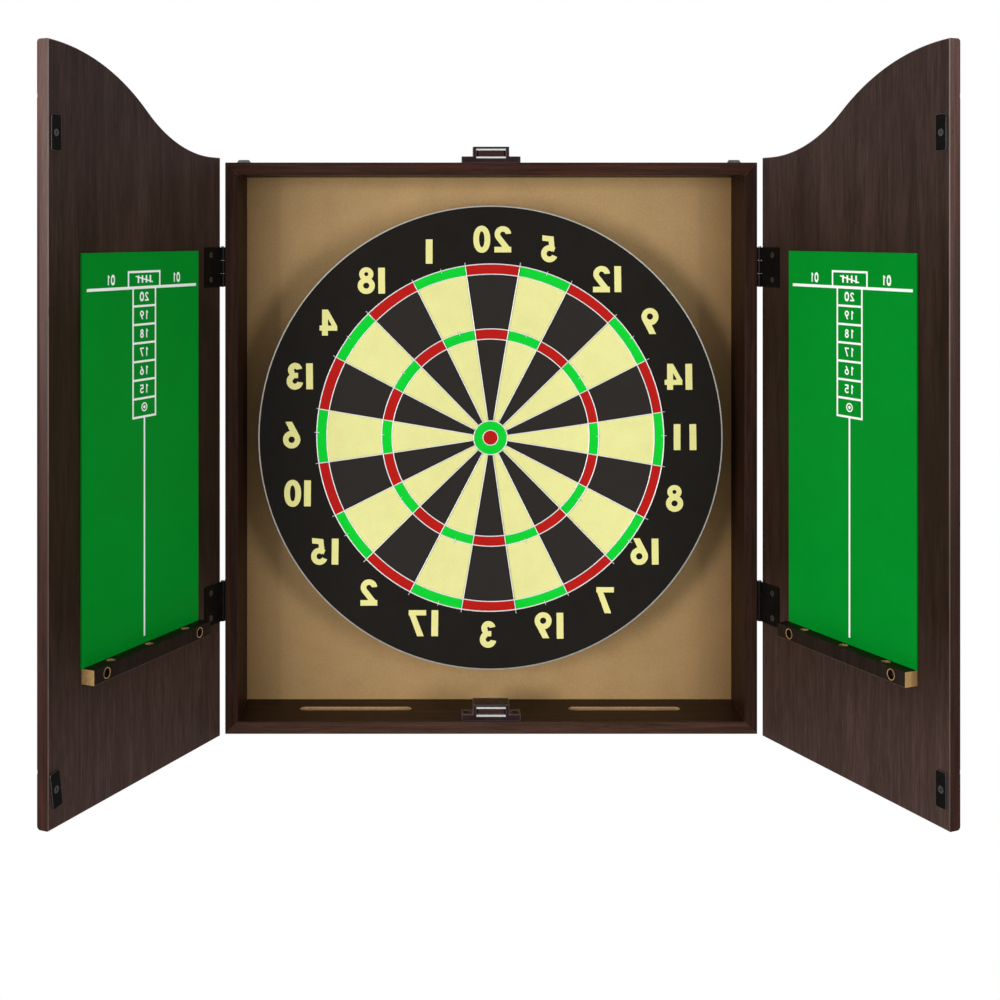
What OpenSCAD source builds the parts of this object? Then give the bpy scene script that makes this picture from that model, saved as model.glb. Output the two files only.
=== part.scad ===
// Wall-hung dart board cabinet with two arched doors.
// Frame: +Z up, wall face in the plane y = 0, front towards -Y,
// origin at the middle of the rear face. Millimetres.

/* [Box] */
// Outside width of the box
box_w = 512; // [500:1:540]
// Outside height of the box
box_h = 550; // [540:1:600]
// Depth of the box from the wall to its front edges
box_d = 80.5; // [78:0.5:95]
// Thickness of the four box boards
board_t = 12; // [11:0.5:15]
// Thickness of the back panel
panel_t = 4; // [3:0.5:5]
// Space between the back panel and the wall
panel_gap = 6.5; // [6.5:0.5:9]

/* [Doors] */
// Thickness of each door
door_t = 15; // [11:0.5:18]
// Height of the lower door edge above the box centre
door_bottom = -276; // [-300:1:-274]
// Height of the low, hinge-side end of the arched edge
door_low = 279.4; // [276:0.1:300]
// Height of the arch above the low end
arch_h = 85.6; // [40:0.1:100]
// Radius of the hollow part of the arch
arch_r = 173.9; // [120:0.1:200]
// Round-over on the front edges of the door
edge_r = 7; // [2:0.5:9]
// Distance of the routed groove from the door edges
groove_inset = 46; // [35:1:60]
// Width of the routed groove
groove_w = 7; // [4:0.5:10]
// Depth of the routed groove
groove_depth = 3; // [1:0.5:4]
// Gap between the two closed doors
door_gap = 2; // [1:0.5:4]
// How far the left door stands open, from closed
open_left = 114; // [0:0.5:180]
// How far the right door stands open, from closed
open_right = 113.7; // [0:0.1:180]

/* [Hinges] */
// Height of each hinge
hinge_h = 38; // [30:1:50]
// Width of a hinge leaf from the pin
leaf_w = 30; // [22:0.5:34]
// Thickness of a hinge leaf
leaf_t = 1.2; // [1:0.1:1.2]
// Outside radius of the hinge knuckles
knuckle_r = 2.1; // [1.8:0.1:2.1]
// Radius of the hinge pin
pin_r = 1.0; // [0.8:0.1:1.2]
// Height of the upper hinges
hinge_up = 174.5; // [120:0.5:200]
// Height of the lower hinges
hinge_low = -147; // [-200:0.5:-120]

/* [Dart board] */
// Diameter of the dart board over its steel band
dart_d = 454; // [440:1:457]
// Thickness of the dart board
dart_t = 38; // [34:1:38]
// Depth of the board face behind the front edges of the box
face_set = 24; // [22:0.5:26]
// Height of the board centre above the box centre
dart_z = 7; // [0:0.5:9]
// Radius of the outer double wire
double_out = 169.8; // [165:0.1:172]
// Radius of the inner double wire
double_in = 160; // [155:0.1:163]
// Radius of the outer treble wire
treble_out = 106.2; // [103:0.1:108]
// Radius of the inner treble wire
treble_in = 96.4; // [94:0.1:100]
// Radius of the outer bull wire
bull_out = 16.5; // [14:0.1:18]
// Radius of the inner bull ring
bull_in = 7.3; // [5:0.1:8]

/* [Door fittings] */
// Width of a scoreboard
score_w = 174; // [150:1:180]
// Height of the top of the scoreboards
score_top = 190.5; // [150:0.5:220]
// Thickness of a scoreboard
score_t = 1.6; // [1:0.1:3]
// Middle of the left scoreboard, from the hinge pin
score_left = 129.3; // [125:0.1:135]
// Middle of the right scoreboard, from the hinge pin
score_right = 133.4; // [125:0.1:135]
// Length of a dart rack
rack_len = 175; // [150:1:180]
// Depth of a dart rack
rack_d = 13; // [12:0.5:14]
// Height of a dart rack
rack_h = 12.8; // [10:0.2:16]
// Height of the top of the dart racks
rack_top = -155.7; // [-180:0.1:-140]
// Middle of the left rack, from the hinge pin
rack_left = 127.2; // [120:0.1:135]
// Middle of the right rack, from the hinge pin
rack_right = 132; // [120:0.1:135]
// Radius of the dart holes
dart_hole_r = 4; // [3:0.1:4.5]

/* [Hidden] */
$fn = 64;

hw = box_w / 2;
hh = box_h / 2;
iw = hw - board_t;
ih = hh - board_t;
front = -box_d;
panel_front = -panel_gap - panel_t;
groove_in = 5;
fit = 0.05;

// hinge pin, in front of and outside the box corner
pin_x = hw + 2.4;
pin_y = front - 0.4;
leaf_face = 0;
door_in = -leaf_t;
door_out = door_in - door_t;
u_hinge = 2.1;
u_free = pin_x - door_gap / 2;

// arched edge: hollow arc about C1, crowned arc about C2
arch_u0 = 14.3;
arch_u1 = 266.6;
arch_r2 = (pow(arch_u1 - arch_u0, 2) + arch_h * arch_h) / (2 * arch_h) - arch_r;
C1 = [arch_u0, door_low + arch_r];
C2 = [arch_u1, door_low + arch_h - arch_r2];
phi = atan2(C2[1] - C1[1], C2[0] - C1[0]);
NA = 20;

board_face = front + face_set;
board_back = board_face + dart_t;
dart_r = dart_d / 2;
score_bottom = rack_top + 0.3;

walnut = [0.20, 0.13, 0.11];
tan_c = [0.69, 0.56, 0.38];
black_c = [0.09, 0.09, 0.09];
steel_c = [0.78, 0.78, 0.80];
brown_c = [0.24, 0.13, 0.12];
cream_c = [0.92, 0.90, 0.62];
red_c = [0.80, 0.10, 0.07];
green_c = [0.07, 0.72, 0.20];
felt_green = [0.0, 0.50, 0.17];

// ---------- shared shapes ----------

// extrudes a 2D shape drawn in (x, z) from y = a to y = b
module slab(a, b) translate([0, b, 0]) rotate([90, 0, 0]) linear_extrude(b - a) children();

// turns a shape built along +Z so that it points along +Y
module along_y() rotate([-90, 0, 0]) children();

// countersunk screw, head top at z = 0, pointing down
module csk_screw(len, hr = 2.7, sr = 1.5, hd = 1.15) difference() {
    rotate_extrude() polygon([[0, 0], [hr, 0], [sr, -hd], [sr, 2 - len], [0, -len]]);
    cross_recess(hr);
}

// round-headed screw, seat at z = 0, head above
module pan_screw(len, hr = 3.0, hh = 2.0, sr = 1.5) difference() {
    rotate_extrude() polygon([[0, hh], [hr * 0.6, hh], [hr * 0.92, hh * 0.62],
        [hr, 0], [sr, 0], [sr, 2 - len], [0, -len]]);
    translate([0, 0, hh]) cross_recess(hr);
}

module cross_recess(hr) {
    translate([-hr * 0.56, -0.32, -0.75]) cube([hr * 1.12, 0.64, 1]);
    translate([-0.32, -hr * 0.56, -0.75]) cube([0.64, hr * 1.12, 1]);
}

module csk_hole(len, hr = 2.75, sr = 1.55, hd = 1.15) {
    translate([0, 0, 0.01]) rotate_extrude() polygon([[0, 0], [hr, 0], [sr, -hd - 0.01], [sr, -hd - 0.02], [0, -hd - 0.02]]);
    translate([0, 0, -len - 0.1]) cylinder(h = len + 0.1, r = sr);
}

// ---------- box ----------

// one mitred board lying along X at the top, or mirrored for the bottom
module rail_blank() slab(front, 0)
    polygon([[-hw, hh], [hw, hh], [iw, ih], [-iw, ih]]);

module stile_blank() slab(front, 0)
    polygon([[-hw, hh], [-iw, ih], [-iw, -ih], [-hw, -hh]]);

// space taken by the back panel and its clearance in the grooves
module panel_groove() translate([-iw - groove_in, -panel_gap - panel_t - fit, -ih - groove_in])
    cube([2 * (iw + groove_in), panel_t + 2 * fit, 2 * (ih + groove_in)]);

brad_z = hh - board_t / 2;
module brad_at(sx, sz, y) translate([sx * (hw - 0.6), y, sz * brad_z]) rotate([0, -sx * 90, 0]) children();
module brad_holes() for (sx = [-1, 1], sz = [-1, 1], y = [front + 20, -20])
    brad_at(sx, sz, y) translate([0, 0, -1]) cylinder(h = 29.1, r = 0.85, $fn = 24);

// slots routed in the top of the bottom board
slot_x = 132.6;
slot_len = 110;
slot_w = 11;
slot_y = front + 40;
slot_deep = 5;
module tray_slot(x) translate([x, slot_y, -ih - slot_deep]) linear_extrude(slot_deep + 1) union() {
    square([slot_len - slot_w, slot_w], center = true);
    translate([-(slot_len - slot_w) / 2, 0]) circle(d = slot_w);
    translate([(slot_len - slot_w) / 2, 0]) circle(d = slot_w);
}

// hanger plates let into the rear of the top corners
hp_w = 14.5;
hp_x = hw - 0.1 - hp_w / 2;
hp_bot = hh - 45;
hp_top = hh + 6.2;
hp_t = 1.5;
key_x = hw - 6.5;
key_z = hh - 26;
module hanger_notch(sx) mirror([sx < 0 ? 1 : 0, 0, 0])
    translate([hw - 0.1 - hp_w - fit, -hp_t - fit, hp_bot - fit]) cube([hp_w + 1, hp_t + 1, 60]);
module key_pocket(sx) mirror([sx < 0 ? 1 : 0, 0, 0])
    translate([key_x - 4.5, -5.5, key_z - 5]) cube([9, 5, 19]);
module hanger_screw_at(sx, which) mirror([sx < 0 ? 1 : 0, 0, 0])
    translate(which == 0 ? [hw - 4.7, 0, hp_bot + 6] : [iw + 2.4, 0, hh - 5]) along_y() children();

// catch screws
catch_front = front + 1.9;
ear_x = 23.4;
catch_sy = catch_front + 9;
module catch_screw_holes(z) for (sx = [-1, 1]) translate([sx * ear_x, catch_sy, z - 8.6]) cylinder(h = 9, r = 1.55);

module top_board() color(walnut) difference() {
    rail_blank();
    panel_groove();
    brad_holes();
    for (s = [-1, 1]) { hanger_notch(s); hanger_screw_at(s, 1) translate([0, 0, -10.6]) cylinder(h = 11, r = 1.55); }
    catch_screw_holes(hh);
}

module bottom_board() color(walnut) difference() {
    mirror([0, 0, 1]) rail_blank();
    panel_groove();
    brad_holes();
    for (x = [-slot_x, slot_x]) tray_slot(x);
    catch_screw_holes(-ih);
}

module leaf_screw_holes_box() for (z = [hinge_up, hinge_low], dz = [-11.7, 11.7])
    translate([hw + 0.01, pin_y + 20, z + dz]) rotate([0, 90, 0]) translate([0, 0, -9.1]) cylinder(h = 10, r = 1.55);

module side_board() color(walnut) difference() {
    mirror([1, 0, 0]) stile_blank();
    panel_groove();
    brad_holes();
    hanger_notch(1);
    key_pocket(1);
    hanger_screw_at(1, 0) translate([0, 0, -10.6]) cylinder(h = 11, r = 1.55);
    leaf_screw_holes_box();
}

module right_side_board() side_board();
module left_side_board() mirror([1, 0, 0]) side_board();

module back_panel() color(tan_c) difference() {
    translate([-iw - groove_in + 0.3, -panel_gap - panel_t, -ih - groove_in + 0.3])
        cube([2 * (iw + groove_in - 0.3), panel_t, 2 * (ih + groove_in - 0.3)]);
    bracket_screw_pos() translate([0, 0, -10.6]) cylinder(h = 12, r = 1.8);
}

// rail behind the panel that takes the bracket screws
module rear_batten() color(tan_c) difference() {
    translate([-iw + 0.3, -panel_gap + 0.1, dart_z - 45]) cube([2 * iw - 0.6, panel_gap - 0.1, 90]);
    bracket_screw_pos() translate([0, 0, -10.6]) cylinder(h = 12, r = 1.8);
}

module corner_brads() color(steel_c) for (sx = [-1, 1], sz = [-1, 1], y = [front + 20, -20])
    brad_at(sx, sz, y) cylinder(h = 28, r = 0.8, $fn = 24);

module hanger_plate() color(black_c) difference() {
    translate([hp_x - hp_w / 2, -hp_t, hp_bot]) slab(0, hp_t) polygon([[0, 0], [hp_w, 0],
        [hp_w, hp_top - hp_bot - 3], [hp_w - 2.2, hp_top - hp_bot], [2.2, hp_top - hp_bot], [0, hp_top - hp_bot - 3]]);
    translate([key_x, -hp_t - 1, key_z]) along_y() cylinder(h = hp_t + 2, r = 4.3);
    translate([key_x - 2.2, -hp_t - 1, key_z]) cube([4.4, hp_t + 2, 11]);
    translate([key_x, -hp_t - 1, key_z + 11]) along_y() cylinder(h = hp_t + 2, r = 2.2);
    for (w = [0, 1]) hanger_screw_at(1, w) csk_hole(4);
}
module right_hanger_plate() hanger_plate();
module left_hanger_plate() mirror([1, 0, 0]) hanger_plate();

module hanger_screws() color(steel_c) for (s = [-1, 1], w = [0, 1])
    hanger_screw_at(s, w) csk_screw(10);

// ---------- dart board bracket ----------

br_in = panel_front - 3.7;
br_out = br_in - 1.5;
slot_top = 20;
module bracket_screw_pos() for (sx = [-1, 1], dz = [-17, 12])
    translate([sx * 36, panel_front - 1.5, dart_z + dz]) rotate([90, 0, 0]) children();

module board_bracket() color(steel_c) translate([0, 0, dart_z]) difference() {
    union() {
        translate([-28, br_out, -30]) cube([56, 1.5, 30 + slot_top]);
        for (s = [-1, 1]) {
            translate([s * 27.25 - 0.75, br_out, -30]) cube([1.5, panel_front - br_out, 30 + slot_top]);
            translate([s * 36 - 9.5, panel_front - 1.5, -30]) cube([19, 1.5, 30 + slot_top]);
        }
    }
    translate([0, br_out - 1, 0]) along_y() cylinder(h = 3.5, r = 5);
    translate([-5, br_out - 1, 0]) cube([10, 3.5, slot_top + 1]);
    translate([0, 0, -dart_z]) bracket_screw_pos() translate([0, 0, -3]) cylinder(h = 4, r = 1.8);
}

module bracket_screws() color(steel_c) bracket_screw_pos() pan_screw(11, 3.2, 2.0, 1.75);

// the bush slides in the bracket's slot; the board turns in the bush
module hanger_bush() color([0.85, 0.85, 0.82]) translate([0, 0, dart_z]) difference() {
    union() {
        translate([0, br_in + 0.2, 0]) along_y() cylinder(h = 0.9, r = 8);
        translate([0, br_out - 0.2, 0]) along_y() cylinder(h = 1.9, r = 4.9);
        translate([-4.9, br_out - 0.2, 0]) cube([9.8, 1.9, 4.9]);
        translate([0, board_back + 0.2, 0]) along_y() cylinder(h = br_out - 0.2 - board_back - 0.2, r = 8);
    }
    translate([0, board_back - 1, 0]) along_y() cylinder(h = 10, r = 3.06);
}

module centre_screw() color(steel_c) translate([0, 0, dart_z]) {
    translate([0, board_back - 26, 0]) along_y() cylinder(h = br_in + 1.3 - board_back + 26 + 0.5, r = 3);
    translate([0, br_in + 1.3, 0]) along_y() cylinder(h = 1.8, r = 7.5);
}

// ---------- magnetic catches ----------

// drawn standing on z = 0, front towards -Y
module catch_housing() color(brown_c) difference() {
    union() {
        translate([-17.5, catch_front, 0]) cube([35, 22, 15.4]);
        translate([-28.4, catch_front, 0]) cube([56.8, 18, 6]);
    }
    translate([-14.1, catch_front - 1, 4.1]) cube([28.2, 19.1, 9.3]);
    for (s = [-1, 1]) translate([s * ear_x, catch_sy, -1]) {
        cylinder(h = 9, r = 1.6);
        translate([0, 0, 4]) cylinder(h = 9, r = 3.3);
    }
}
module top_catch_housing() translate([0, 0, hh]) catch_housing();
module bottom_catch_housing() translate([0, 0, -ih]) catch_housing();

module catch_magnets() color(black_c) for (z = [hh, -ih])
    translate([-13, catch_front + 2.5, z + 5.85]) cube([26, 15, 5.8]);

module catch_pole_plates() color(steel_c) for (z = [hh, -ih], dz = [4.2, 11.7])
    translate([-14, catch_front - 0.5, z + dz]) cube([28, 18.4, 1.6]);

module catch_screws() color(steel_c) for (z = [hh, -ih], s = [-1, 1])
    translate([s * ear_x, catch_sy, z + 3]) pan_screw(11, 2.9, 1.9, 1.5);

// ---------- hinges, drawn about the pin with the pin on the Z axis ----------

kn = hinge_h / 3;
module knuckle(z0, z1) translate([0, 0, z0]) cylinder(h = z1 - z0, r = knuckle_r);
module pin_bore() translate([0, 0, -hinge_h]) cylinder(h = 2 * hinge_h, r = pin_r + fit);

// box leaf: runs back along the side of the box (right-hand box side is mirrored)
module box_leaf() color(black_c) difference() {
    union() {
        knuckle(-hinge_h / 2, -kn / 2 - 0.15);
        knuckle(kn / 2 + 0.15, hinge_h / 2);
        for (s = [-1, 1]) translate([2.4 - leaf_t, 0, s > 0 ? kn / 2 + 0.15 : -hinge_h / 2])
            cube([leaf_t, 4, kn - 0.15]);
        translate([2.4 - leaf_t, 3, -hinge_h / 2]) cube([leaf_t, leaf_w - 3, hinge_h]);
    }
    pin_bore();
    for (dz = [-11.7, 11.7]) translate([2.4 - leaf_t, 20, dz]) rotate([0, -90, 0]) csk_hole(3);
}

// door leaf: lies on the inner face of the door, u along +X, face normal +Y
module door_leaf() color(black_c) difference() {
    union() {
        knuckle(-kn / 2 + 0.15, kn / 2 - 0.15);
        translate([0, -leaf_t, -kn / 2 + 0.15]) cube([4, leaf_t, kn - 0.3]);
        translate([3, -leaf_t, -hinge_h / 2]) cube([leaf_w - 3, leaf_t, hinge_h]);
    }
    pin_bore();
    for (dz = [-11.7, 11.7]) translate([20, 0, dz]) along_y() csk_hole(3);
}

module at_left_pin(z) translate([-pin_x, pin_y, z]) children();
module at_right_pin(z) mirror([1, 0, 0]) at_left_pin(z) children();

module left_upper_box_leaf() at_left_pin(hinge_up) box_leaf();
module left_lower_box_leaf() at_left_pin(hinge_low) box_leaf();
module right_upper_box_leaf() at_right_pin(hinge_up) box_leaf();
module right_lower_box_leaf() at_right_pin(hinge_low) box_leaf();

module one_pin() {
    translate([0, 0, -hinge_h / 2 - 0.3]) cylinder(h = hinge_h + 0.6, r = pin_r);
    translate([0, 0, hinge_h / 2 + 0.3]) cylinder(h = 0.7, r = pin_r + 0.5);
}
module hinge_pins() color(steel_c) for (z = [hinge_up, hinge_low]) {
    at_left_pin(z) one_pin();
    at_right_pin(z) one_pin();
}

module box_leaf_screws() color(black_c) for (z = [hinge_up, hinge_low], dz = [-11.7, 11.7]) {
    at_left_pin(z + dz) translate([2.4 - leaf_t, 20, 0]) rotate([0, -90, 0]) csk_screw(10);
    at_right_pin(z + dz) translate([2.4 - leaf_t, 20, 0]) rotate([0, -90, 0]) csk_screw(10);
}

// ---------- doors, drawn closed about the left pin: u = X, face normal +Y ----------

function arc_low(i, a0) = [for (k = [0:NA]) let (a = a0 + (phi - a0) * k / NA) C1 + (arch_r + i) * [cos(a), sin(a)]];
function arc_high(i, ue) = let (a0 = 180 + phi, a1 = acos((ue - arch_u1) / (arch_r2 - i)))
    [for (k = [1:NA]) let (a = a0 + (a1 - a0) * k / NA) C2 + (arch_r2 - i) * [cos(a), sin(a)]];

// door outline moved in by i, starting at the lower free corner
function door_ring(i) = concat([[u_free - i, door_bottom + i], [u_hinge + i, door_bottom + i], [u_hinge + i, door_low - i]],
    arc_low(i, -90), arc_high(i, u_free - i));

// line of the groove at inset i, run past the free edge at both ends
function groove_line(i) = let (a0 = -acos((u_hinge + i - arch_u0) / (arch_r + i)))
    concat([[u_free + 6, door_bottom + i], [u_hinge + i, door_bottom + i]], arc_low(i, a0), arc_high(i, u_free + 6));

ring_steps = concat([[0.7, door_in], [0, door_in - 0.7]],
    [for (k = [0:6]) let (a = 15 * k) [edge_r * (1 - cos(a)), door_out + edge_r * (1 - sin(a))]]);
RM = len(door_ring(0));
// both faces fan out from the lower hinge corner, which sees the whole outline
module door_blank() polyhedron(
    points = [for (s = ring_steps) for (p = door_ring(s[0])) [p[0], s[1], p[1]]],
    faces = concat(
        [for (m = [2:RM - 1]) [1, (m + 1) % RM, m]],
        [for (m = [2:RM - 1]) let (b = (len(ring_steps) - 1) * RM) [b + 1, b + m, b + (m + 1) % RM]],
        [for (j = [0:len(ring_steps) - 2]) for (m = [0:RM - 1])
            [j * RM + m, j * RM + (m + 1) % RM, (j + 1) * RM + (m + 1) % RM, (j + 1) * RM + m]]));

g_half = groove_w / 2;
g_sec = concat([[groove_inset - g_half, door_out - 1]],
    [for (k = [0:6]) let (a = 180 - 30 * k) [groove_inset + g_half * cos(a), door_out + groove_depth * sin(a)]],
    [[groove_inset + g_half, door_out - 1]]);
GK = len(g_sec);
GM = len(groove_line(groove_inset));
g_lines = [for (s = g_sec) groove_line(s[0])];
module groove_cut() polyhedron(
    points = [for (m = [0:GM - 1]) for (k = [0:GK - 1]) [g_lines[k][m][0], g_sec[k][1], g_lines[k][m][1]]],
    faces = concat(
        [[for (k = [GK - 1:-1:0]) k]],
        [[for (k = [0:GK - 1]) (GM - 1) * GK + k]],
        [for (m = [0:GM - 2]) for (k = [0:GK - 1])
            [m * GK + (k + 1) % GK, (m + 1) * GK + (k + 1) % GK, (m + 1) * GK + k, m * GK + k]]));

striker_u = 248.5;
striker_zu = 289;
striker_zl = -244.5;
rack_screw = 70;

module inner_hole(u, z, depth, r = 1.55) translate([u, door_in - depth, z]) along_y() cylinder(h = depth + 1, r = r);

module door_panel(rc) color(walnut) difference() {
    door_blank();
    groove_cut();
    for (z = [hinge_up, hinge_low], dz = [-11.7, 11.7]) inner_hole(20, z + dz, 9);
    for (z = [striker_zu, striker_zl]) inner_hole(striker_u, z, 9);
    for (s = [-1, 1]) inner_hole(rc + s * rack_screw, rack_top - rack_h / 2, 9, 1.8);
}

module left_frame() translate([-pin_x, pin_y, 0]) rotate([0, 0, -open_left]) children();
module right_frame() mirror([1, 0, 0]) translate([-pin_x, pin_y, 0]) rotate([0, 0, -open_right]) children();

module leaf_screws() color(black_c) for (z = [hinge_up, hinge_low], dz = [-11.7, 11.7])
    translate([20, 0, z + dz]) along_y() csk_screw(10);

module scoreboard(c) color(felt_green) translate([c - score_w / 2, door_in, score_bottom])
    cube([score_w, score_t, score_top - score_bottom]);

// printed rules of a scoreboard: header line, header box, seven cells, centre line
sc_head = score_top - 31.3;
row_h = 16.3;
rows = 7;
lw = 1.9;
module line_x(u0, u1, z, w = lw) translate([u0, z - w / 2]) square([u1 - u0, w]);
module line_z(u, z0, z1, w = lw) translate([u - w / 2, z0]) square([w, z1 - z0]);
module score_lines(c) color([0.92, 0.96, 0.92]) slab(door_in + score_t, door_in + score_t + 0.15) union() {
    line_x(c - 81.5, c + 81.5, sc_head, 2.5);
    line_x(c - 24.4, c + 24.4, sc_head + 13.9);
    for (s = [-1, 1]) {
        line_z(c + s * (24.4 - lw / 2), sc_head, sc_head + 14.8);
        line_z(c + s * (17.7 - lw / 2), sc_head - row_h * rows, sc_head);
    }
    for (k = [1:rows]) line_x(c - 17.7, c + 17.7, sc_head - k * row_h);
    line_z(c, -149, sc_head - row_h * rows, 2.1);
}

module dart_rack(c) color(walnut) translate([c, door_in, rack_top - rack_h]) difference() {
    translate([-rack_len / 2, 0, 0]) cube([rack_len, rack_d, rack_h]);
    for (x = [-56, 0, 56]) translate([x, rack_d / 2, -1]) cylinder(h = rack_h + 2, r = dart_hole_r);
    for (s = [-1, 1]) translate([s * rack_screw, -1, rack_h / 2]) along_y() {
        cylinder(h = rack_d + 2, r = 1.8);
        translate([0, 0, 1 + rack_d - 5]) cylinder(h = 6, r = 4.2);
    }
}

module rack_screws(c) color(black_c) for (s = [-1, 1])
    translate([c + s * rack_screw, door_in + rack_d - 5, rack_top - rack_h / 2]) along_y() pan_screw(16, 3.6, 2.2, 1.75);

module striker(z, tilt) color(black_c) translate([striker_u, door_in, z]) rotate([0, tilt, 0]) difference() {
    slab(0, leaf_t) union() {
        square([12, 26], center = true);
        square([8, 30], center = true);
        for (sx = [-1, 1], sz = [-1, 1]) translate([sx * 4, sz * 13]) circle(r = 2);
    }
    translate([0, leaf_t, 0]) along_y() csk_hole(3);
}

module striker_screws() color(steel_c) for (z = [striker_zu, striker_zl])
    translate([striker_u, door_in + leaf_t, z]) along_y() csk_screw(10);

module left_door_panel() left_frame() door_panel(rack_left);
module left_upper_door_leaf() left_frame() translate([0, 0, hinge_up]) door_leaf();
module left_lower_door_leaf() left_frame() translate([0, 0, hinge_low]) door_leaf();
module left_leaf_screws() left_frame() leaf_screws();
module left_scoreboard() left_frame() scoreboard(score_left);
module left_score_lines() left_frame() score_lines(score_left - 1.1);
module left_dart_rack() left_frame() dart_rack(rack_left);
module left_rack_screws() left_frame() rack_screws(rack_left);
module left_upper_striker() left_frame() striker(striker_zu, 0);
module left_lower_striker() left_frame() striker(striker_zl, 8);
module left_striker_screws() left_frame() striker_screws();

module right_door_panel() right_frame() door_panel(rack_right);
module right_upper_door_leaf() right_frame() translate([0, 0, hinge_up]) door_leaf();
module right_lower_door_leaf() right_frame() translate([0, 0, hinge_low]) door_leaf();
module right_leaf_screws() right_frame() leaf_screws();
module right_scoreboard() right_frame() scoreboard(score_right);
module right_score_lines() right_frame() score_lines(score_right + 0.9);
module right_dart_rack() right_frame() dart_rack(rack_right);
module right_rack_screws() right_frame() rack_screws(rack_right);
module right_upper_striker() right_frame() striker(striker_zu, 0);
module right_lower_striker() right_frame() striker(striker_zl, 0);
module right_striker_screws() right_frame() striker_screws();

// ---------- dart board ----------

split_y = board_back - 9;
module dart_place() translate([0, 0, dart_z]) children();

module sisal_disc() color(black_c) dart_place() difference() {
    translate([0, board_face, 0]) along_y() cylinder(h = split_y - board_face, r = dart_r - 1.2, $fn = 180);
    translate([0, board_back - 26.5, 0]) along_y() cylinder(h = 30, r = 3.05);
}

module backing_disc() color([0.55, 0.42, 0.28]) dart_place() difference() {
    translate([0, split_y, 0]) along_y() cylinder(h = board_back - split_y, r = dart_r - 1.2, $fn = 180);
    translate([0, split_y - 1, 0]) along_y() cylinder(h = 12, r = 3.05);
}

module steel_band() color(steel_c) dart_place() difference() {
    translate([0, board_face - 0.4, 0]) along_y() cylinder(h = dart_t - 0.6, r = dart_r, $fn = 180);
    translate([0, board_face - 1, 0]) along_y() cylinder(h = dart_t + 2, r = dart_r - 1.15, $fn = 180);
}

// wedge of the circle between two angles, reaching past the doubles
module wedge(a0, a1) polygon([[0, 0], 400 * [cos(a0), sin(a0)], 400 * [cos((a0 + a1) / 2), sin((a0 + a1) / 2)], 400 * [cos(a1), sin(a1)]]);
module annulus(r0, r1) difference() { circle(r = r1, $fn = 180); circle(r = r0, $fn = 180); }
module beds(r0, r1, odd) for (k = [0:9]) intersection() {
    annulus(r0, r1);
    wedge(36 * k + (odd ? 9 : -9) + 0.02, 36 * k + (odd ? 27 : 9) - 0.02);
}
// the beds and wires stand a touch clockwise of upright
bed_turn = -0.6;
module ink() dart_place() slab(board_face - 0.25, board_face) rotate(bed_turn) children();

// beds are named by the wedge at the top, which is black and red
module cream_beds() color(cream_c) ink() { beds(bull_out, treble_in, false); beds(treble_out, double_in, false); }
module red_beds() color(red_c) ink() { beds(treble_in, treble_out, true); beds(double_in, double_out, true); circle(r = bull_in); }
module green_beds() color(green_c) ink() { beds(treble_in, treble_out, false); beds(double_in, double_out, false); annulus(bull_in, bull_out); }

wire = 1.2;
module spider_wires() color(steel_c) dart_place() slab(board_face - 1.45, board_face - 0.25) rotate(bed_turn) union() {
    for (r = [double_out, double_in, treble_out, treble_in, bull_out]) annulus(r - wire / 2, r + wire / 2);
    for (k = [0:19]) rotate(18 * k + 9) translate([bull_out - 0.3, -wire / 2]) square([double_out + 4 - bull_out, wire]);
    annulus(bull_in - 0.5, bull_in + 0.5);
}

module board_bumpers() color(black_c) dart_place() for (a = [90, 210, 330])
    translate([180 * cos(a), board_back, 180 * sin(a)]) along_y() cylinder(h = panel_front - board_back - 0.3, r = 7);

top_board();
bottom_board();
left_side_board();
right_side_board();
back_panel();
rear_batten();
corner_brads();
left_hanger_plate();
right_hanger_plate();
hanger_screws();
board_bracket();
bracket_screws();
top_catch_housing();
bottom_catch_housing();
catch_magnets();
catch_pole_plates();
catch_screws();
left_upper_box_leaf();
left_lower_box_leaf();
right_upper_box_leaf();
right_lower_box_leaf();
hinge_pins();
box_leaf_screws();
left_door_panel();
left_upper_door_leaf();
left_lower_door_leaf();
left_leaf_screws();
left_scoreboard();
left_score_lines();
left_dart_rack();
left_rack_screws();
left_upper_striker();
left_lower_striker();
left_striker_screws();
right_door_panel();
right_upper_door_leaf();
right_lower_door_leaf();
right_leaf_screws();
right_scoreboard();
right_score_lines();
right_dart_rack();
right_rack_screws();
right_upper_striker();
right_lower_striker();
right_striker_screws();
hanger_bush();
centre_screw();
backing_disc();
sisal_disc();
steel_band();
cream_beds();
red_beds();
green_beds();
spider_wires();
board_bumpers();
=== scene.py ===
"""Looks for the dart board cabinet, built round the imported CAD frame. Metres, +Z up, wall at y = 0."""
import math
import random

import bmesh
import bpy
import numpy as np
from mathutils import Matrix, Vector
from mathutils.geometry import tessellate_polygon


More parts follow.
